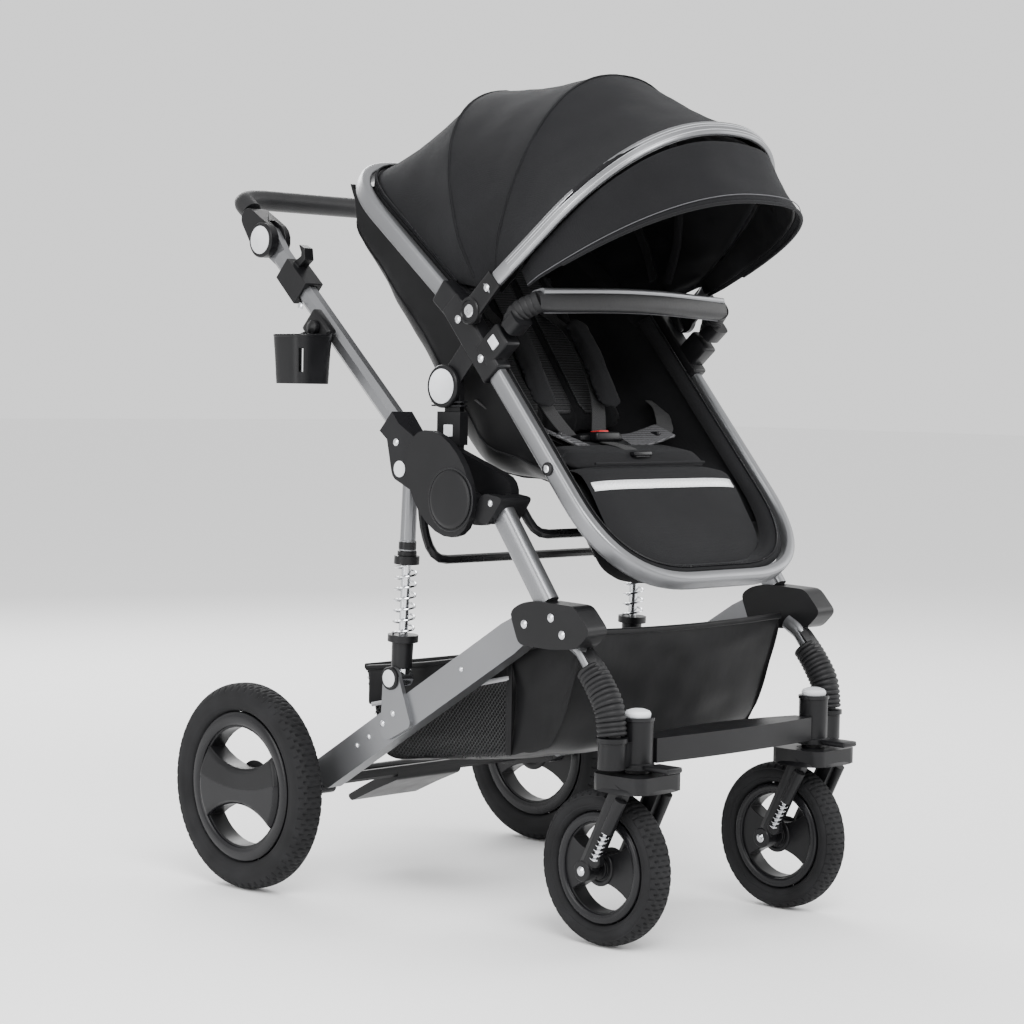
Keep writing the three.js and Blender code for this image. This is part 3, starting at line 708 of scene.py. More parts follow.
def stud(name, place, out, radius, mat, height=0.0022):
    """A domed rivet head with a collar, its axis along x."""
    profile = [(radius, -0.0005), (radius, height * 0.35), (radius * 0.86, height * 0.5),
               (radius * 0.8, height * 0.72), (radius * 0.5, height), (radius * 0.03, height * 1.08)]
    return lathe(name, place, X_AXIS * out, profile, mat, segments=20)


def frame_studs():
    """Rivets, pins and bolts, gathered into one piece for each body."""
    leg_run = Vector((0, 0.384, -0.2325)).normalized()
    leg_holes = [LEG_PIVOT + leg_run * far + Z_AXIS * 0.004 for far in (0.135, 0.335, 0.362)]
    plate_holes = [SHOCK_FOOT + Vector((0, -0.005, -0.045)), SHOCK_FOOT + Vector((0, 0.014, -0.060))]
    rows = [("chassis", 0.236, 0.0052, [P(0, -0.476, 0.3895), P(0, -0.521, 0.4006),
                                        P(0, -0.540, 0.3814)]),
            ("chassis", 0.240, 0.0042, [P(0, -0.418, 0.534), P(0, -0.372, 0.502)]),
            ("rear_frame", 0.230, 0.0034, leg_holes), ("rear_frame", 0.236, 0.0042, plate_holes),
            ("seat_unit", 0.1995, 0.0052, [LOWER.at(0, 0.020), LOWER.at(0, 0.085)]),
            ("handle_frame", 0.2382, 0.0048, [P(0, -0.243, 0.604)])]
    for s, side in SIDES:
        groups = {}
        for body, out, radius, places in rows:
            for place in places:
                head = stud("stud", place + X_AXIS * s * out, s, radius, CHROME, 0.0024)
                groups.setdefault(body, []).append(head)
        pale = stud("stud", SHOCK_TOP + X_AXIS * s * 0.2382, s, 0.0105, PALE, 0.0016)
        groups["handle_frame"].append(pale)
        for body, parts in groups.items():
            put(merge(f"{body}_studs_{side}", parts), body, "spring_steel")


def hub_trim():
    """The fold hub's inset round plate and the groove round it."""
    inset = [(0.036, -0.001), (0.036, 0.0014), (0.0345, 0.0024), (0.031, 0.0027), (0.001, 0.0032)]
    for s, side in SIDES:
        plate = cap(s, HUB, 0.2486, inset, PLASTIC, 56)
        groove = ring("groove", HUB + X_AXIS * s * 0.2486, X_AXIS * s,
                      bead_profile(0.0375, 0.0405, 0.0009), GLOSSY)
        put(merge(f"hub_plate_{side}", [plate, groove]), "chassis", "plastic")


def bolt_cap():
    """The bolt on the side of the lower loop, with a round washer."""
    for s, side in SIDES:
        place, face = LOWER.at(0, 0.262), SEAT_X + 0.0075
        washer = cap(s, place, face, button_profile(0.0085, 0.003), PLASTIC, 28)
        head = cap(s, place, face + 0.003, button_profile(0.005, 0.0016), CHROME, 20)
        put(merge(f"frame_bolt_{side}", [washer, head]), "seat_unit", "plastic")


def seat_hinges():
    """The recline drum with its pale disc, the canopy boss and the bumper button."""
    drum = [(0.0275, -0.001), (0.0275, 0.0028), (0.0262, 0.0042), (0.0235, 0.0046), (0.001, 0.0046)]
    disc = [(0.0222, 0), (0.0222, 0.0008), (0.0214, 0.0014), (0.001, 0.0019)]
    boss = [(0.0172, -0.006), (0.0172, 0.0014), (0.0158, 0.003), (0.0135, 0.003), (0.0125, 0.0014),
            (0.001, 0.0014)]
    screw = [(0.0082, 0), (0.0082, 0.0008), (0.0064, 0.0020), (0.0022, 0.0021), (0.0018, 0.0008),
             (0.0003, 0.0008)]
    turn = Matrix.Rotation(math.atan2(LOWER.along.z, LOWER.along.y), 3, "X")
    for s, side in SIDES:
        parts = [cap(s, SEAT_PIVOT, 0.1995, drum, PLASTIC, 56),
                 cap(s, SEAT_PIVOT, 0.2038, disc, PALE, 56)]
        put(merge(f"recline_disc_{side}", parts), "seat_unit", "button")
        parts = [cap(s, CANOPY_PIVOT, 0.2054, boss, PLASTIC, 48),
                 cap(s, CANOPY_PIVOT, 0.2066, screw, CHROME, 32)]
        put(merge(f"canopy_boss_{side}", parts), "canopy", "plastic")
        square = rounded_block(f"bumper_button_{side}", LOWER.at(s * 0.1998, 0.084, 0.030),
                               (0.0030, 0.016, 0.013), PALE, turn, 0.0012)
        put(square, "seat_unit", "button")


def adapter_trim():
    """The ring collar between each seat mount and its socket."""
    for s, side in SIDES:
        low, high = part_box(f"seat_adapter_{side}")
        middle = (low + high) / 2
        size = (0.0122, high.y - low.y + 0.001, 0.0026)
        parts = [rounded_block("band", Vector((middle.x, middle.y, high.z - drop)), size, GLOSSY,
                               None, 0.001) for drop in (0.048, 0.043)]
        put(merge(f"adapter_band_{side}", parts), "seat_mounts", "plastic")


# ---- shock struts ----
def struts():
    """The rear struts' coils, collars, sheaths and pale pivot discs."""
    axis = (SHOCK_FOOT - SHOCK_TOP).normalized()
    # Profiles of the turned parts, as radius and distance along the axis.
    collar = [(0.0112, 0), (0.0124, 0.001), (0.0124, 0.006), (0.0163, 0.0068), (0.0163, 0.0174),
              (0.0125, 0.0180)]
    cuff = [(0.0100, 0), (0.0114, 0.001), (0.0114, 0.010), (0.0100, 0.0108)]
    sheath = [(0.0070, 0), (0.0198, 0.0002), (0.0198, 0.0092), (0.0140, 0.0105), (0.0134, 0.042),
              (0.0105, 0.044)]
    foot = [(0.0150, -0.001), (0.0150, 0.0022), (0.0138, 0.0034), (0.0120, 0.0034),
            (0.0001, 0.0034)]
    disc = [(0.0112, 0), (0.0112, 0.0008), (0.0104, 0.0013), (0.0002, 0.0015)]
    for s, side in SIDES:
        top = SHOCK_TOP + X_AXIS * s * TUBE_X
        start, end = top + axis * 0.1235, top + axis * 0.2125
        spring = coil(f"strut_coil_{side}", (start, end), 0.0135, 0.0030, 6.3, CHROME)
        put(spring, f"shock_upper_{side}", "spring_steel", f"shock_spring_{side}")
        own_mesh(spring)
        parts = [lathe("collar", top + axis * 0.105, axis, collar, PLASTIC, 32),
                 lathe("cuff", top + axis * 0.093, axis, cuff, GLOSSY, 32)]
        put(merge(f"strut_collar_{side}", parts), f"shock_upper_{side}", "plastic")
        lower = lathe(f"strut_sheath_{side}", top + axis * 0.2135, axis, sheath, PLASTIC, 32)
        put(lower, f"shock_lower_{side}", "plastic")
        parts = [cap(s, SHOCK_FOOT, 0.236, foot, PLASTIC, 44),
                 cap(s, SHOCK_FOOT, 0.2390, disc, PALE, 44)]
        put(merge(f"strut_foot_{side}", parts), "rear_frame", "button")


# ---- front bellows, casters ----
def front_bellows():
    """The ribbed rubber sleeves and the bare tube above each."""
    ribs = 15
    for s, side in SIDES:
        x = s * 0.207
        path = smooth_path([P(x, -0.560, 0.341), P(x, -0.576, 0.322), P(x, -0.592, 0.296),
                            P(x, -0.598, 0.263)], 20)
        sleeve = sweep(f"bellows_ribs_{side}", even(path, 170), round_section(0.033, 0.033, 1, 28),
                       X_AXIS, RUBBER, smooth=50,
                       scale=lambda t: 1 + 0.15 * abs(math.sin(math.pi * ribs * t)) ** 0.6
                       - 0.10 * abs(t - 0.5))
        put(sleeve, "chassis", "rubber", f"bellows_{side}")
        path = smooth_path([P(x, -0.530, 0.372), P(x, -0.5485, 0.3615), P(x, -0.563, 0.345)], 8)
        stem = sweep(f"stem_{side}", even(path, 16), round_section(0.0222, 0.0222, 1, 24), X_AXIS,
                     ALUMINIUM)
        put(stem, "chassis", "frame")


def caster_details():
    """Caster caps, fork shells with their small sprung rods, and the swivel lock pedals."""
    cap_top = [(0.0148, -0.004), (0.0158, -0.002), (0.0158, 0.001), (0.0140, 0.0038),
               (0.0080, 0.0060), (0.0003, 0.0066)]
    collar = [(0.0192, 0), (0.0202, 0.0006), (0.0202, 0.0042), (0.0192, 0.005)]
    base = [(0.0190, 0), (0.0212, 0.0006), (0.0212, 0.007), (0.0190, 0.0085)]
    stem_end = [(0.0168, 0), (0.0192, 0.0008), (0.0192, 0.0062), (0.0172, 0.0068)]
    axle_boss = [(0.0130, -0.006), (0.0130, 0.0018), (0.0118, 0.003), (0.001, 0.0033)]
    rod_seat = [(0.0092, -0.004), (0.0092, 0.004), (0.008, 0.0052), (0.001, 0.0054)]
    for s, side in SIDES:
        low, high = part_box(f"caster_housing_{side}")
        swivel, axle = JOINT[f"caster_swivel_{side}"], JOINT[f"front_wheel_spin_{side}"]
        x = swivel.x
        top = Vector((x, swivel.y, high.z))
        parts = [lathe("cap", top, Z_AXIS, cap_top, PALE, 44),
                 lathe("collar", top - Z_AXIS * 0.0085, Z_AXIS, collar, GLOSSY, 44),
                 lathe("base", Vector((x, swivel.y, 0.2212)), Z_AXIS, base, PLASTIC, 44),
                 lathe("stem", P(s * 0.207, -0.598, 0.2555), Z_AXIS, stem_end, PLASTIC, 40)]
        put(merge(f"caster_cap_{side}", parts), "chassis", "plastic")
        low, high = P(x, -0.606, 0.1965), P(x, -0.606, 0.217)
        parts = [sweep("hood", [low.lerp(high, i / 8) for i in range(9)],
                       round_section(0.092, 0.084, 0.62, 36), X_AXIS, PLASTIC,
                       scale=lambda t: 1.0 - 0.55 * t ** 1.6)]
        springs = []
        for out in (-1, 1):
            def leg(inset, y, z):
                return Vector((x + out * (0.0450 - inset), y, z))

            head, foot = leg(0.004, -0.617 + AXLE_Y, 0.1890), leg(0.002, axle.y - 0.020, axle.z + 0.016)
            end = head + (foot - head).normalized() * 0.046
            parts += [rod("cylinder", head, end, 0.0150, PLASTIC),
                      lathe("boss", leg(0.004, axle.y, axle.z), X_AXIS * out, axle_boss, PLASTIC, 36),
                      lathe("seat", leg(0.006, foot.y, foot.z), X_AXIS * out, rod_seat, PLASTIC, 28)]
            springs += [sweep("rod", [end, foot], round_section(0.006, 0.006, 1, 12), X_AXIS, CHROME),
                        coil("coil", (end, foot), 0.0054, 0.0020, 6.5, CHROME, 6),
                        stud("bolt", leg(0.001, axle.y, axle.z), out, 0.0058, CHROME, 0.0028)]
        put(merge(f"fork_shell_{side}", parts), f"caster_{side}", "plastic")
        put(merge(f"fork_springs_{side}", springs), f"caster_{side}", "spring_steel")
        low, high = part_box(f"caster_lock_{side}")
        size = high - low
        pad = rounded_block(f"lock_pedal_{side}", (low + high) / 2,
                            (size.x * 1.05, size.y, size.z * 1.15), PLASTIC, None, 0.0022)
        put(pad, f"lock_{side}", "plastic", f"caster_lock_{side}")


# ---- handle ----
def handle():
    """The leather grip with its stitched seam, its pale hinge discs and the collars' screws."""
    corners = [P(s * TUBE_X, y, z) for s, y, z in ((-1, 0.078, 0.908), (-1, 0.103, 0.927),
                                                   (1, 0.103, 0.927), (1, 0.078, 0.908))]
    path = even(filleted(corners, 0.046, 16), 130)
    up, lead = Vector((0, -0.64, 0.77)), Vector((0, 0.77, 0.64))
    grip = sweep("grip_leather", path, round_section(0.0284, 0.0284, 1, 28), up, LEATHER,
                 scale=lambda t: 1.0 + 0.004 * noise.noise(Vector((t * 40, 0, 0))))
    put(grip, "grip", "leather", "grip_bar")
    stitches = []
    under = [p - up * 0.01405 for p in path[18:-18]]
    for i, (a, b) in enumerate(zip(under, under[1:])):
        slant = lead * (0.0030 if i % 2 else -0.0030)
        stitches.append(sweep("stitch", [a + slant, b - slant], round_section(0.0010, 0.0010, 1, 6), up,
                              THREAD))
    put(merge("grip_stitching", stitches), "grip", "leather")
    drum = [(0.0238, -0.002), (0.0238, 0.0030), (0.0225, 0.0044), (0.0200, 0.0046), (0.0010, 0.0046)]
    disc = [(0.0188, 0), (0.0188, 0.0010), (0.0178, 0.0016), (0.0010, 0.0020)]
    for s, side in SIDES:
        parts = [cap(s, GRIP_PIVOT, 0.2325, drum, PLASTIC, 52),
                 cap(s, GRIP_PIVOT, 0.2368, disc, PALE, 52)]
        put(merge(f"grip_disc_{side}", parts), "grip", "button")
        screw = stud(f"collar_screw_{side}", P(s * 0.2335, -0.0455, 0.7785), s, 0.0048, CHROME)
        put(screw, f"collar_{side}", "spring_steel")


def cup_holder():
    """A square cup with rounded corners, a raised back and window slots."""
    centre = P(-0.2645, -0.088, 0)
    low, top, shell = 0.676, 0.738, 0.0022
    around, levels = 64, 16
    window, sill, head = (7, 8, 9), 4, 12

    def wall(inset, k, i):
        a = 2 * math.pi * i / around
        c, s = math.cos(a), math.sin(a)
        z = low + (top - low) * k / levels
        half = 0.0325 - inset - 0.0035 * (1 - k / levels)
        if k == 0 and inset:
            z += 0.003
            half += 0.0035 * 0.003 / (top - low)
        if k == levels:
            z += 0.010 * max(0.0, c) ** 2
        return centre + Vector((half * math.copysign(abs(c) ** 0.55, c),
                                half * math.copysign(abs(s) ** 0.55, s), z))

    def at(layer, k, i):
        return (layer * (levels + 1) + k) * around + i % around

    verts = [wall(inset, k, i) for inset in (0, shell) for k in range(levels + 1)
             for i in range(around)]
    faces = [tuple(at(layer, 0, i) for i in range(around)) for layer in (0, 1)]
    for i in range(around):
        open_here = i % 16 in window
        solid = [k for k in range(levels) if not (open_here and sill <= k < head)]
        faces += [(at(layer, k, i), at(layer, k, i + 1), at(layer, k + 1, i + 1), at(layer, k + 1, i))
                  for layer in (0, 1) for k in solid]
        edges = [levels, sill, head] if open_here else [levels]
        faces += [(at(0, k, i), at(0, k, i + 1), at(1, k, i + 1), at(1, k, i)) for k in edges]
        if i % 16 in (window[0], window[-1] + 1):
            faces += [(at(0, k, i), at(0, k + 1, i), at(1, k + 1, i), at(1, k, i))
                      for k in range(sill, head)]
    cup = build("cup", verts, faces, PLASTIC, smooth=38)
    rim_path = [wall(shell / 2, levels, i) + Z_AXIS * 0.0005 for i in range(around)]
    rim = sweep("rim", rim_path, round_section(0.0042, 0.0034, 0.8, 10), Z_AXIS, PLASTIC, closed=True)
    tube_turn = Matrix.Rotation(math.atan2(0.254, 0.276), 3, "X")
    clamp = rounded_block("clamp", P(-0.2382, -0.090, 0.747), (0.0150, 0.046, 0.036), PLASTIC,
                          tube_turn, 0.004)
    link = rounded_block("link", P(-0.2440, -0.090, 0.722), (0.014, 0.026, 0.040), PLASTIC)
    knob = lathe("knob", P(-0.2468, -0.0905, 0.750), -X_AXIS, button_profile(0.0095, 0.007), PLASTIC,
                 28)
    put(merge("cup_shell", [cup, rim, clamp, link, knob]), "handle_frame", "plastic", "cup_holder")


# ---- canopy ----
# Each rib: angle about the pivots in degrees, reach, half-width, and the two powers of its arch.
REAR_RIB = (65.7, 0.330, 0.190, 0.69, 1.00)
TOP_RIB = (102.0, 0.314, 0.181, 0.76, 0.88)
BOW_RIB = (136.3, 0.333, 0.189, 0.50, 0.95)
VISOR_BACK = (139.6, 0.327, 0.178, 0.61, 0.76)
VISOR_EDGE = (156.2, 0.338, 0.177, 0.63, 0.82)
ACROSS_POINTS = 56


def rib_point(rib, t, shrink=0.0):
    degrees, reach, width, rise, spread = rib
    angle = math.radians(degrees)
    r = (reach - shrink) * math.sin(t) ** rise
    tuck = 0.020 * max(0.0, 1 - r / 0.10)
    c = math.cos(t)
    x = -(width - shrink - tuck) * math.copysign(abs(c) ** spread, c)
    return CANOPY_PIVOT + Vector((x, r * math.cos(angle), r * math.sin(angle)))


def rib_path(rib, shrink=0.0, start=0.012, count=ACROSS_POINTS):
    fine = 240
    line = [rib_point(rib, math.pi * (start + (1 - 2 * start) * i / fine), shrink)
            for i in range(fine + 1)]
    return even(line, count)


def rear_edge(shrink=0.0, above=0.013, far=0.0, start=0.035):
    x = 0.171 - shrink
    top = UPPER.length - 0.012 - shrink - far
    line = filleted([UPPER.at(-x, start, above), UPPER.at(-x, top, above),
                     UPPER.at(x, top, above), UPPER.at(x, start, above)], 0.098, 24)
    return even(line, ACROSS_POINTS)


def ruled(edges, between, sag, ripple=0.0):
    """Rows of points from edge to edge, sagging inwards between them."""
    rows = []
    middle = CANOPY_PIVOT + Vector((0, 0, 0.05))
    for k, (a, b) in enumerate(zip(edges, edges[1:])):
        for i in range(between):
            f = i / between
            row = []
            for j, (p, q) in enumerate(zip(a, b)):
                point = p.lerp(q, f)
                inward = (middle - point).normalized()
                high = math.sin(math.pi * j / (len(a) - 1))
                soft = noise.noise(point * 26) * 0.0016 + noise.noise(point * 70) * 0.0005
                fold = ripple * math.sin(j * 1.9 + k * 2) * math.sin(math.pi * f) * (1 - high * 0.6)
                row.append(point + inward * (sag * math.sin(math.pi * f) * (0.25 + 0.75 * high)
                                             + soft + fold))
            rows.append(row)
    rows.append(list(edges[-1]))
    return rows


def fan(obj):
    """Fabric of the hood, between the seat frame and the bow: bakes its placement into the mesh."""
    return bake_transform(obj)


def arch_normal(degrees):
    """The normal of a rib's plane, and the plane's own outward direction."""
    angle = math.radians(degrees)
    return Vector((0, -math.sin(angle), math.cos(angle))), Vector((0, math.cos(angle), math.sin(angle)))


def canopy():
    """The hood with its lining, seams, rib sleeves and zip."""
    outer = [rear_edge(), rib_path(REAR_RIB), rib_path(TOP_RIB), rib_path(BOW_RIB)]
    hood = grid("hood_skin", ruled(outer, 14, 0.005), CANOPY, thickness=0.0018)
    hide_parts("canopy_hood")
    inner = [rear_edge(0.010, 0.006), rib_path(REAR_RIB, 0.012), rib_path(TOP_RIB, 0.012),
             rib_path(BOW_RIB, 0.012)]
    lining = grid("hood_lining", ruled(inner, 14, 0.004, 0.0035), LINING, thickness=0.0010)
    seams, sleeves = [], []
    for rib in (REAR_RIB, TOP_RIB):
        for shift in (-0.0012, 0.0012):
            line = [p + Vector((0, shift, 0)) for p in rib_path(rib, -0.0011)[1:-1]]
            seams.append(sweep("seam", line, round_section(0.0019, 0.0019, 1, 8), X_AXIS, CANOPY))
        sleeves.append(sweep("sleeve", rib_path(rib, 0.017)[2:-2], round_section(0.014, 0.006, 0.8, 12),
                             arch_normal(rib[0])[0], CANOPY))
    for piece in (merge("hood_seams", seams), lining, merge("rib_sleeves", sleeves), hood):
        fan(piece)
    teeth = [sweep("teeth", even(rear_edge(-0.002, lift, -0.002), 900),
                   round_section(0.0030, 0.0024, 0.6, 6), UPPER.up, BLACK_METAL,
                   scale=lambda t: 0.8 + 0.35 * (int(t * 900) % 3 == 0))
             for lift in (0.0145, 0.0171)]
    put(merge("hood_zip", teeth), "seat_unit", "fabric")
    # The tape's rows, each a distance in from the hood's edge and a height above the seat's plane.
    tape = [rear_edge(inset, above, inset * 0.5, -0.004)
            for inset, above in ((0.0085, -0.0210), (0.0035, -0.0090), (0.0, 0.0020),
                                 (-0.0020, 0.0110), (0.0070, 0.0160))]
    put(grid("hood_zip_tape", tape, SEAT_FABRIC, thickness=0.0014), "seat_unit", "fabric")


# ---- seat ----
# Each station of the bag: far along its plane, then the deepest point behind it.
STATIONS = ((UPPER, 0.283, (-0.097, 0.893)), (UPPER, 0.250, (-0.083, 0.850)),
            (UPPER, 0.170, (-0.122, 0.795)), (UPPER, 0.080, (-0.165, 0.748)),
            (UPPER, 0.010, (-0.200, 0.694)), (LOWER, 0.070, (-0.248, 0.625)),
            (LOWER, 0.140, (-0.312, 0.568)), (LOWER, 0.200, (-0.432, 0.554)),
            (LOWER, 0.248, (-0.484, 0.528)), (LOWER, 0.300, (-0.508, 0.476)),
            (LOWER, 0.345, (-0.520, 0.434)))
BAG_COLUMNS = 40
BAG_DROP = 0.0125


def bag_rows(inset, crinkle):
    """Rows of points across the seat's bag, from the head end to the feet."""
    rails = smooth_path([plane.at(0, far, -BAG_DROP) for plane, far, _ in STATIONS], 5)
    deeps = smooth_path([P(0, *deep) for _, _, deep in STATIONS], 5)
    closing = 5
    rails = [rails[0]] * closing + rails + [rails[-1]] * closing
    deeps = [deeps[0]] * closing + deeps + [deeps[-1]] * closing
    last = len(rails) - 1
    rows = []
    for i, (rail, deep) in enumerate(zip(rails, deeps)):
        end = min(i, last - i) / closing
        share = math.sin(min(1.0, end) * math.pi / 2) ** 0.75
        foot = i / last
        narrow = 0.030 * max(0.0, (foot - 0.72) / 0.28)
        down = (deep - rail)
        reach = max(0.0, down.length - inset) * share
        down.normalize()
        row = []
        for j in range(BAG_COLUMNS + 1):
            a = math.pi * j / BAG_COLUMNS
            c, s = math.cos(a), math.sin(a)
            depth = s ** 0.42
            x = -(SHELL_X - inset * 0.8 - narrow * depth) * math.copysign(abs(c) ** 0.42, c)
            p = Vector((x, 0, 0)) + rail + down * reach * depth
            pull = noise.noise(Vector((x * 9, p.y * 22, p.z * 9))) * crinkle
            pull += noise.noise(p * 45) * crinkle * 0.35
            out = Vector((x * 2.2, 0, 0)) + down * 0.16
            row.append(p + out.normalized() * pull * depth * share)
        rows.append(row)
    return rows


def subdivide(obj, levels=1):
    modifier = obj.modifiers.new("fine", "SUBSURF")
    modifier.levels = modifier.render_levels = levels
    apply_modifiers(obj)
    soften(obj.data, 60)
    return obj


def visor():
    """The visor beyond the bow, its lining, edge piping and seam."""
    degrees = VISOR_EDGE[0]
    skin = grid("visor_skin", ruled([rib_path(VISOR_BACK, 0.0, 0.03), rib_path(VISOR_EDGE, 0.0, 0.03)],
                                    14, 0.003), CANOPY, thickness=0.0018)
    put(skin, "canopy", "fabric", "canopy_visor")
    inside_edge = (degrees - 2.0, *VISOR_EDGE[1:])
    lining = grid("visor_lining", ruled([rib_path(VISOR_BACK, 0.007, 0.03),
                                         rib_path(inside_edge, 0.005, 0.03)], 12, 0.003, 0.0022),
                  LINING, thickness=0.0010)
    put(lining, "canopy", "fabric")
    normal = arch_normal(degrees)[0]
    put(sweep("visor_piping", rib_path(VISOR_EDGE, 0.0, 0.08), round_section(0.0040, 0.0046, 0.9, 12),
              normal, SEAT_FABRIC), "canopy", "fabric")
    seam_line = rib_path((degrees - 1.6, *VISOR_EDGE[1:]), -0.0016, 0.03)
    put(sweep("visor_seam", seam_line, round_section(0.0012, 0.0012, 1, 6), normal, THREAD),
        "canopy", "fabric")


def bow():
    """The bright band that carries the hood's front edge, and its feet on the pivots."""
    degrees = 136.8
    normal, outward = arch_normal(degrees)
    arch = rib_path((degrees, 0.335, 0.191, 0.66, 0.88), 0.0, 0.09, 60)
    right, left = (CANOPY_PIVOT + X_AXIS * s * 0.2022 + outward * 0.040 for s in (-1, 1))
    route = even(smooth_path([right, right.lerp(arch[0], 0.5), *arch, left.lerp(arch[-1], 0.5), left],
                             4), 110)
    put(sweep("bow_band", route, round_section(0.0205, 0.0080, 0.5, 20), normal, ALUMINIUM), "canopy",
        "frame", "canopy_bow")
    middle = CANOPY_PIVOT + outward * 0.12
    lines = [sweep("line", [p + (p - middle).normalized() * 0.0038 + normal * lift
                            for p in route[6:-6]], round_section(0.0012, 0.0012, 1, 6), normal, CHROME)
             for lift in (-0.0052, -0.0015, 0.0052)]
    put(merge("bow_lines", lines), "canopy", "frame")
    for s, side in SIDES:
        start = CANOPY_PIVOT + X_AXIS * s * 0.2027
        end = start + outward * 0.058
        foot = sweep("foot", [start.lerp(end, i / 8) for i in range(9)],
                     round_section(0.0062, 0.0290, 0.4, 20), X_AXIS, PLASTIC,
                     scale=lambda t: 1.06 - 0.12 * t)
        rivet = stud("rivet", start.lerp(end, 0.72) + X_AXIS * s * 0.0030, s, 0.0048, CHROME)
        put(merge(f"bow_foot_{side}", [foot, rivet]), "canopy", "plastic")


def seat_bag():
    """The seat's outer bag, its lining and the seams down the bag's back."""
    bag = grid("seat_bag", bag_rows(0.0, 0.0075), NYLON, thickness=0.0014)
    put(subdivide(bag), "seat_unit", "nylon", "seat_shell")
    inner = grid("seat_lining", bag_rows(0.007, 0.0060), SEAT_FABRIC, thickness=0.0012)
    put(subdivide(inner), "seat_unit", "fabric")
    rows = bag_rows(-0.0012, 0.0075)[6:-6]
    seams = [sweep("seam", [row[column] for row in rows], round_section(0.0022, 0.0022, 1, 8), X_AXIS,
                   SEAT_FABRIC) for column in (4, BAG_COLUMNS - 4, 14, BAG_COLUMNS - 14)]
    put(merge("bag_seams", seams), "seat_unit", "nylon")


def pad_surface(name, spine, half, mat, thickness, corner=0.04, columns=20, rows=30, crown=0.0):
    """A pad along a spine in the middle plane, with rounded corners and a crowned face."""
    line = even(smooth_path([P(0, *p) for p in spine], 10), rows)
    length = (line[-1] - line[0]).length
    top, back = [], []
    for i, p in enumerate(line):
        up = (line[min(i + 1, rows)] - line[max(i - 1, 0)]).normalized().cross(X_AXIS)
        up = up if up.z > 0 or up.y < 0 else -up
        near = min(i / rows, 1 - i / rows) * length
        wide = half - corner * (1 - math.sqrt(max(0.0, 1 - (1 - min(1, near / corner)) ** 2)))
        for j in range(columns + 1):
            u = 2 * j / columns - 1
            lift = thickness / 2 * (1 - abs(u) ** 6) * min(1.0, 0.35 + near / 0.012)
            top.append(p + X_AXIS * wide * u + up * (lift + crown * (1 - u * u)))
            back.append(p + X_AXIS * wide * u - up * lift)
    m, n = columns + 1, len(top)
    faces = []
    for a in (i * m + j for i in range(rows) for j in range(columns)):
        faces += [(a, a + 1, a + m + 1, a + m), (n + a, n + a + m, n + a + m + 1, n + a + 1)]
    border = [*range(m), *range(2 * m - 1, n, m), *range(n - 2, n - m - 1, -1),
              *range(n - 2 * m, 0, -m)]
    faces += [(a, b, b + n, a + n) for a, b in zip(border, border[1:] + border[:1])]
    return build(name, top + back, faces, mat, smooth=60)


def puff(obj, cap, pressure=4.0, voxel=0.006, last_frame=18):
    """Fills the pad by cloth simulation, each point held within cap of where it began."""
    remesh = obj.modifiers.new("voxels", "REMESH")
    remesh.mode = "VOXEL"
    remesh.voxel_size = voxel
    mats = list(obj.data.materials)
    apply_modifiers(obj)
    if not obj.data.materials:
        obj.data.materials.append(mats[0])
    rest = [v.co.copy() for v in obj.data.vertices]
    cloth = obj.modifiers.new("cloth", "CLOTH")
    cloth.settings.quality = 4
    cloth.settings.mass = 0.25
    cloth.settings.bending_stiffness = 0.4
    cloth.settings.use_pressure = True
    cloth.settings.uniform_pressure_force = pressure
    cloth.settings.effector_weights.gravity = 0
    cloth.point_cache.frame_end = last_frame
    scene = bpy.context.scene
    for moment in range(1, last_frame + 1):
        scene.frame_set(moment)
    graph = bpy.context.evaluated_depsgraph_get()
    moved = [v.co.copy() for v in obj.evaluated_get(graph).data.vertices]
    obj.modifiers.clear()
    scene.frame_set(1)
    for vertex, a, b in zip(obj.data.vertices, rest, moved):
        step = b - a
        vertex.co = a + (step.normalized() * cap if step.length > cap else step)
    obj.data.update()
    return subdivide(obj)


def channel(obj, lines, depth, width, face):
    """Presses sewn channels into the pad: each line gives a point's distance from it."""
    for vertex in obj.data.vertices:
        for distance in lines:
            vertex.co -= face * (depth * math.exp(-(distance(vertex.co) / width) ** 2))
    obj.data.update()


def lay_on(obj, target, lift):
    """Presses a sheet onto the target's surface, a lift above it."""
    wrap = obj.modifiers.new("lie", "SHRINKWRAP")
    wrap.target = target
    wrap.wrap_mode = "ABOVE_SURFACE"
    wrap.offset = lift
    return apply_modifiers(obj)


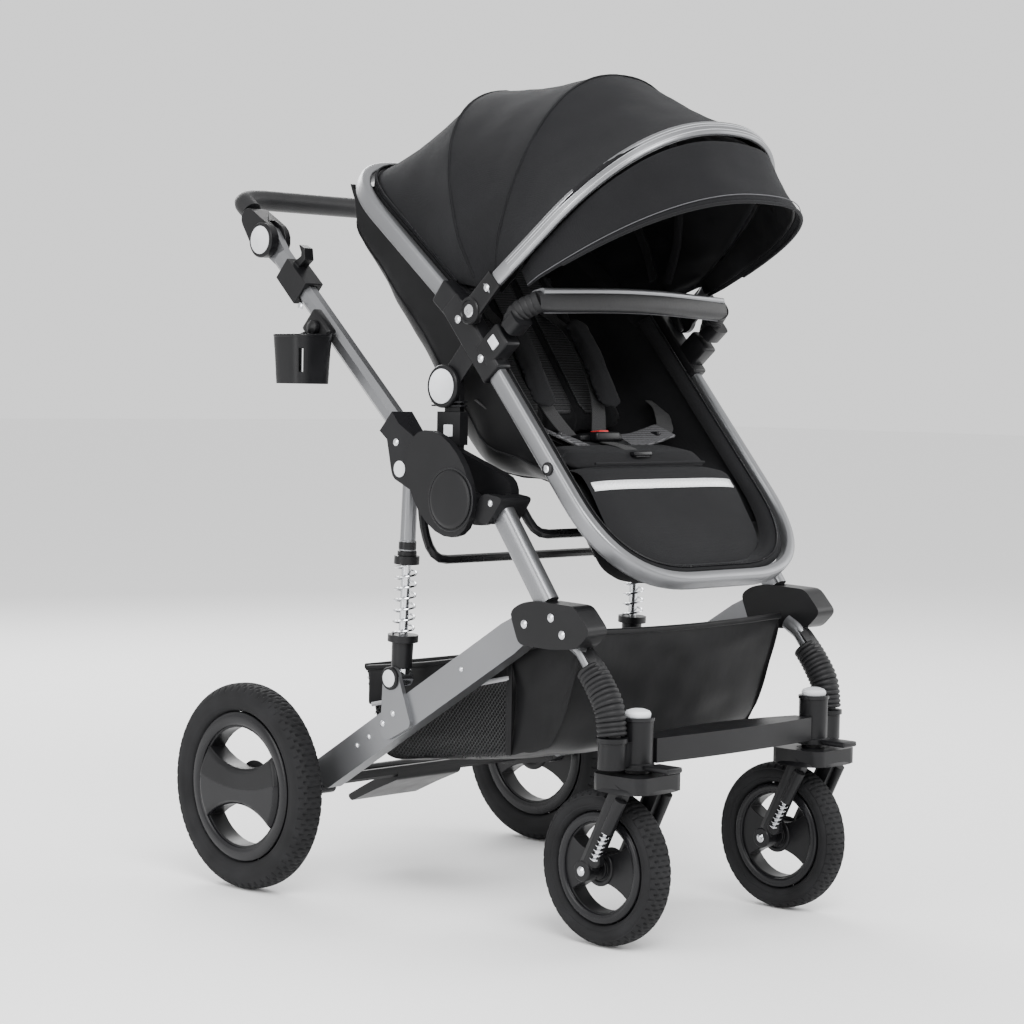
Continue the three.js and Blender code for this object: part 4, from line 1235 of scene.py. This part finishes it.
def seat_pads():
    """Back pad with mesh panels, seat pad, and leg panel with its reflective strip."""
    back_spine = ((-0.128, 0.856), (-0.190, 0.772), (-0.252, 0.688), (-0.306, 0.612))
    back = puff(pad_surface("back_pad", back_spine, 0.146, SEAT_FABRIC, 0.017, 0.05), 0.008)
    face = Vector((0, -0.80, 0.60))
    channel(back, [lambda co, x=x: co.x - x for x in (-0.092, -0.032, 0.032, 0.092)], 0.0050, 0.0040,
            face)
    put(back, "seat_unit", "fabric")
    wide = [0.0225 * min(1.0, 0.7 + min(i, 50 - i) * 0.1) for i in range(51)]
    for k, x in enumerate((-0.062, 0.0, 0.062)):
        line = even(smooth_path([P(x, *p) + face * 0.015 for p in back_spine], 10), 60)[5:-5]
        rows = [[p + X_AXIS * w * (j / 5 - 1) for j in range(11)] for p, w in zip(line, wide)]
        panel = lay_on(grid(f"mesh_panel_{k}", rows, AIR_MESH), back, 0.0012)
        put(thicken(panel, 0.0022), "seat_unit", "fabric")
    seat_spine = ((-0.322, 0.597), (-0.390, 0.589), (-0.462, 0.577))
    seat = puff(pad_surface("seat_pad", seat_spine, 0.146, SEAT_FABRIC, 0.016, 0.03), 0.008)
    channel(seat, [lambda co: co.y - (AXLE_Y - 0.392)], 0.0045, 0.005, Z_AXIS)
    put(seat, "seat_unit", "fabric")
    leg_spine = ((-0.405, 0.572), (-0.462, 0.572), (-0.486, 0.556), (-0.520, 0.506), (-0.566, 0.451))
    leg = subdivide(pad_surface("leg_panel", leg_spine, 0.139, SEAT_FABRIC, 0.010, 0.075, 24, 34))
    put(leg, "seat_unit", "fabric")
    rows = [[P(0.134 * (j / 15 - 1), y, z) for j in range(31)]
            for y, z in ((-0.4933, 0.5676), (-0.5008, 0.5556))]
    strip = lay_on(grid("leg_reflector", rows, REFLECTIVE), leg, 0.0007)
    put(thicken(strip, 0.0008), "seat_unit", "fabric")
    fold = even([P(-0.104, -0.4655, 0.5825), P(0.104, -0.4655, 0.5825)], 30)
    put(sweep("leg_fold_piping", fold, round_section(0.0036, 0.0036, 1, 10), Z_AXIS, SEAT_FABRIC),
        "seat_unit", "fabric")


def strap(points, width, across, mat, thickness):
    """One of the flat straps that make up the harness."""
    return sweep("strap", even(smooth_path(points, 10), 44),
                 round_section(width, thickness, 0.3, 12), across, mat)


def harness():
    """Five-point harness: shoulder, waist and crotch straps, pads and a buckle."""
    tilt = Vector((0, 0.85, 0.5))
    thin = 0.0016
    # The shoulder, waist, hip and tail straps of the left side.
    sided = ((((0.055, -0.208, 0.782), (0.063, -0.262, 0.745), (0.058, -0.310, 0.676),
               (0.030, -0.345, 0.618), (0.010, -0.362, 0.607)), 0.024, X_AXIS, WEBBING, thin),
             (((0.148, -0.352, 0.640), (0.120, -0.378, 0.622), (0.070, -0.378, 0.607),
               (0.022, -0.368, 0.606)), 0.024, tilt, WEBBING, thin),
             (((0.112, -0.388, 0.6215), (0.070, -0.382, 0.6100), (0.044, -0.376, 0.6080)), 0.042,
              Vector((0, 0.95, 0.3)), GREY_MESH, 0.0045),
             (((0.148, -0.352, 0.640), (0.160, -0.335, 0.650), (0.163, -0.318, 0.660)), 0.024,
              tilt, WEBBING, thin))
    parts = [strap([P(s * x, y, z) for x, y, z in points], *cut)
             for s in (-1, 1) for points, *cut in sided]
    crotch = [P(0, -0.452, 0.5905), P(0, -0.420, 0.6010), P(0, -0.385, 0.6070)]
    parts.append(strap(crotch, 0.026, X_AXIS, WEBBING, thin))
    put(merge("harness_straps", parts), "seat_unit", "fabric")
    pad_spine = ((-0.262, 0.768), (-0.300, 0.716), (-0.338, 0.650))
    for s, side in SIDES:
        pad = pad_surface(f"shoulder_pad_{side}", pad_spine, 0.0240, SEAT_FABRIC, 0.007, 0.016, 10, 30,
                          0.002)
        for vertex in pad.data.vertices:
            vertex.co.x += s * 0.062
        puff(pad, 0.005, 3.0, 0.004)
        put(pad, "seat_unit", "fabric")
    turn = Matrix.Rotation(-0.10, 3, "X")
    # The buckle's body and button, its two halves, two strap slides and the lower slide.
    blocks = [((0, -0.372, 0.6125), (0.046, 0.040, 0.013), PLASTIC, 0.004),
              ((0, -0.374, 0.6195), (0.019, 0.017, 0.004), RED, 0.0018),
              ((-0.030, -0.366, 0.6110), (0.020, 0.026, 0.009), PLASTIC, 0.003),
              ((0.030, -0.366, 0.6110), (0.020, 0.026, 0.009), PLASTIC, 0.003),
              ((-0.094, -0.380, 0.6165), (0.007, 0.030, 0.006), GLOSSY, 0.002),
              ((0.094, -0.380, 0.6165), (0.007, 0.030, 0.006), GLOSSY, 0.002),
              ((0, -0.448, 0.5935), (0.034, 0.010, 0.006), GLOSSY, 0.002)]
    put(merge("harness_buckle", [rounded_block("block", P(*at), size, mat, turn, radius)
                                 for at, size, mat, radius in blocks]), "seat_unit", "plastic")


def seat_zip():
    """The zip and its tape that join the fabric to the lower loop."""
    def edge(inset, above):
        x, top, foot = 0.1755 - inset, LOWER.length - 0.0095 - inset, 0.004
        corners = [LOWER.at(-x, foot, above), LOWER.at(-x, top, above), LOWER.at(x, top, above),
                   LOWER.at(x, foot, above)]
        return even(filleted(corners, 0.118, 26), 120)

    rows = [edge(0.000, 0.002), edge(0.006, 0.005), edge(0.012, 0.002), edge(0.020, -0.008)]
    put(grid("seat_zip_tape", rows, SEAT_FABRIC, thickness=0.0014), "seat_unit", "fabric")
    count = 1100
    teeth = sweep("seat_zip_teeth", even(edge(0.007, 0.0062), count),
                  round_section(0.0042, 0.0022, 0.6, 6), LOWER.up, BLACK_METAL,
                  scale=lambda t: 0.75 + 0.4 * (int(t * count) % 3 == 0))
    put(teeth, "seat_unit", "fabric")


# ---- bumper bar ----
def bumper():
    """Padded bar with a bright strip along its top, ribbed elbows and sockets."""
    path = even(filleted([P(-0.1765, -0.4275, 0.7830), P(0, -0.4400, 0.7895),
                          P(0.1765, -0.4275, 0.7830)], 0.14, 14), 60)
    up = Vector((0, 0.18, 0.98)).normalized()
    pad = sweep("bumper_pad", path, round_section(0.0300, 0.0225, 0.72, 28), up, LEATHER,
                scale=lambda t: 1 - 0.16 * abs(2 * t - 1) ** 8)
    put(pad, "bumper", "leather", "bumper_bar")
    put(sweep("bumper_strip", [p + up * 0.0112 for p in path[1:-1]],
              round_section(0.0085, 0.0238, 0.5, 20), up, ALUMINIUM), "bumper", "frame")
    put(sweep("bumper_seam", [p - up * 0.0146 for p in path[2:-2]],
              round_section(0.0014, 0.0030, 0.8, 8), up, THREAD), "bumper", "leather")
    ribs = 7
    for s, side in SIDES:
        foot = LOWER.at(s * 0.187, 0.084, 0.0570)
        bend = [foot, P(s * 0.186, -0.404, 0.770), P(s * 0.1700, -0.4290, 0.7835)]
        elbow = sweep("elbow", even(filleted(bend, 0.030, 16), 110),
                      round_section(0.0250, 0.0250, 0.9, 24), X_AXIS, RUBBER, smooth=50,
                      scale=lambda t: 1 + (0.10 * abs(math.sin(math.pi * ribs * t)) ** 0.5
                                           if 0.22 < t < 0.86 else 0.09))
        socket = sweep("socket", [foot + LOWER.up * k * 0.0035 for k in range(7)],
                       round_section(0.0300, 0.0250, 0.6, 24), X_AXIS, PLASTIC)
        put(merge(f"bumper_elbow_{side}", [elbow, socket]), "bumper", "rubber")


# ---- basket ----
BASKET_BOTTOM = ((-0.135, 0.302), (-0.152, 0.255), (-0.176, 0.192), (-0.260, 0.196),
                 (-0.350, 0.206), (-0.420, 0.220), (-0.478, 0.240), (-0.512, 0.322), (-0.530, 0.380))
BASKET_HALF = 0.188


def basket_side(s, side, bottom_line):
    """One side: a solid front panel, then mesh below a band, with hems and grey piping."""
    split, back, front = AXLE_Y - 0.405, AXLE_Y - 0.1365, AXLE_Y - 0.5285

    def rim(y):
        share = (y - (AXLE_Y - 0.135)) / -0.395
        return 0.302 + 0.078 * share - 0.010 * math.sin(math.pi * share)

    def bottom(y):
        return min([p.z for p in bottom_line if abs(p.y - y) < 0.006], default=0.302)

    def band_foot(y):
        return 0.252 + 0.062 * (back - y) / (back - split)

    def along(start, end, steps, height, out=0.0):
        return [Vector((s * (BASKET_HALF + out), y, height(y)))
                for y in (start + (end - start) * i / steps for i in range(steps + 1))]

    rows = []
    for i in range(19):
        y = split + (front - split) * i / 18
        low, high = bottom(y), rim(y)
        rows.append([Vector((s * (BASKET_HALF - 0.010 * math.sin(math.pi * k / 10) * (1 - i / 18)
                                  + 0.002 * noise.noise(Vector((y * 30, k * 0.5, 0)))), y,
                             low + (high - low) * k / 10)) for k in range(11)])
    put(subdivide(grid(f"basket_side_{side}", rows, NYLON, thickness=0.0014)), "chassis", "nylon")

    pitch = 0.0062
    wires = []
    for direction in (-1, 1):
        for k in range(-30, int((back - split) / pitch) + 30):
            points = []
            for m in range(33):
                y, z = split + k * pitch + direction * m * 0.0036, 0.186 + m * 0.0040
                if split <= y <= back and bottom(y) <= z <= rim(y) - 0.002:
                    hollow = 0.006 * math.sin(math.pi * (y - split) / (back - split))
                    points.append(Vector((s * (BASKET_HALF - hollow), y, z)))
            if len(points) > 1:
                wires.append(sweep("wire", points, round_section(0.0013, 0.0011, 1, 4), X_AXIS,
                                   WEBBING))
    put(merge(f"basket_net_{side}", wires), "chassis", "nylon")

    divide = [Vector((s * (BASKET_HALF + 0.0008), split, bottom(split) + (rim(split) - bottom(split))
                      * i / 8)) for i in range(9)]
    hems = [sweep("hem", along(back, front, 40, rim), round_section(0.0060, 0.0075, 0.8, 12), X_AXIS,
                  NYLON),
            sweep("hem", divide, round_section(0.0030, 0.010, 0.7, 10), X_AXIS, NYLON)]
    put(sweep(f"basket_piping_{side}", along(back - 0.012, split, 30, band_foot, 0.001),
              round_section(0.0040, 0.0060, 0.9, 10), X_AXIS, PIPING), "chassis", "nylon")
    rows = []
    for y in (back - 0.004 + (split - back + 0.004) * i / 30 for i in range(31)):
        low, high = band_foot(y), rim(y)
        rows.append([Vector((s * (BASKET_HALF + 0.0006 + 0.002 * noise.noise(Vector((y * 25, k, 3)))),
                             y, low + (high - low) * k / 6)) for k in range(7)])
    put(subdivide(grid(f"basket_band_{side}", rows, NYLON, thickness=0.0014)), "chassis", "nylon")
    put(merge(f"basket_hems_{side}", hems), "chassis", "nylon")


def basket():
    """A sagging nylon basket with open mesh in its sides."""
    line = even(smooth_path([P(0, *p) for p in BASKET_BOTTOM], 10), 64)
    rows = []
    for p in line:
        sag = 0.008 if p.z < 0.25 else 0
        inward = Vector((0, 0.25 if p.y < AXLE_Y - 0.45 else 0, 0.6)).normalized()
        row = []
        for j in range(25):
            u = j / 12 - 1
            wrinkle = noise.noise(Vector((u * 4, p.y * 30, p.z * 30))) * 0.004 * (1 - u ** 6)
            row.append(p + Vector((BASKET_HALF * u, 0, -sag * (1 - u * u))) + inward * wrinkle)
        rows.append(row)
    put(subdivide(grid("basket_sling", rows, NYLON, thickness=0.0016)), "chassis", "nylon", "basket")
    for s, side in SIDES:
        basket_side(s, side, line)
    across = [j / 15 - 1 for j in range(31)]
    front = [P(BASKET_HALF * u, -0.5305, 0.381 - 0.004 * (1 - u * u)) for u in across]
    back = [P(BASKET_HALF * u, -0.1345, 0.304) for u in across]
    ends = [sweep("hem", path, round_section(0.0080, 0.0070, 0.8, 12), Z_AXIS, NYLON)
            for path in (front, back)]
    put(merge("basket_end_hems", ends), "chassis", "nylon")


for side_sign, side_name in SIDES:
    for wheel_kind, wheel_blocks in (("rear", 60), ("front", 44)):
        tyre(wheel_kind, side_name, wheel_blocks)
        rim_trim(wheel_kind, side_sign, side_name)
loop("seat_frame_upper", UPPER, 0.110)
loop("seat_frame_lower", LOWER, 0.130)
front_tubes()
seat_blocks()
frame_studs()
hub_trim()
bolt_cap()
seat_hinges()
adapter_trim()
struts()
front_bellows()
caster_details()
handle()
cup_holder()
canopy()
visor()
bow()
seat_bag()
seat_pads()
harness()
seat_zip()
bumper()
basket()


# ---- camera, light and floor ----
def camera():
    azimuth, elevation, roll = (math.radians(a) for a in (-46.27, 2.914, 0.985))
    target = Vector((0, -0.0684, 0.515))
    distance = 3.3056
    back = Vector((math.sin(azimuth) * math.cos(elevation),
                   -math.cos(azimuth) * math.cos(elevation), math.sin(elevation)))
    level = Vector((math.cos(azimuth), math.sin(azimuth), 0))
    upright = back.cross(level)
    right = level * math.cos(roll) + upright * math.sin(roll)
    up = upright * math.cos(roll) - level * math.sin(roll)
    data = bpy.data.cameras.new("camera")
    data.sensor_width = 36
    data.lens = 88.1
    data.shift_x = -0.0617
    data.shift_y = -0.0014
    obj = new_object("camera", data)
    turn = Matrix((right, up, back)).transposed().to_4x4()
    obj.matrix_world = Matrix.Translation(target + back * distance) @ turn
    bpy.context.scene.camera = obj


def area_light(name, place, aim, size, power):
    data = bpy.data.lights.new(name, "AREA")
    data.shape = "RECTANGLE"
    data.size, data.size_y = size
    data.energy = power
    obj = new_object(name, data)
    obj.location = place
    obj.rotation_euler = (Vector(aim) - Vector(place)).to_track_quat("-Z", "Y").to_euler()


def stage():
    middle = Vector((0, 0, 0.5))
    area_light("key", (-1.6, -2.6, 3.0), middle, (2.4, 2.0), 190)
    area_light("fill", (3.0, -1.8, 1.6), middle, (2.2, 2.2), 60)
    area_light("rim", (1.2, 3.0, 2.4), middle, (2.6, 1.6), 120)
    area_light("side", (-3.4, 0.4, 1.3), middle, (1.6, 2.2), 55)
    world = bpy.data.worlds.new("studio")
    world.use_nodes = True
    light = world.node_tree.nodes["Background"]
    light.inputs["Color"].default_value = (1, 1, 1, 1)
    light.inputs["Strength"].default_value = 1.25
    bpy.context.scene.world = world
    n = Nodes("pale_floor", (0.92, 0.92, 0.92), 0.75)
    n.rough(n.noise(2), 0.7, 0.8)
    reach = 30.0
    floor = grid("floor", [[Vector((x, y, -0.0006)) for x in (-reach, reach)]
                           for y in (-reach, reach)], n.mat)


camera()
stage()
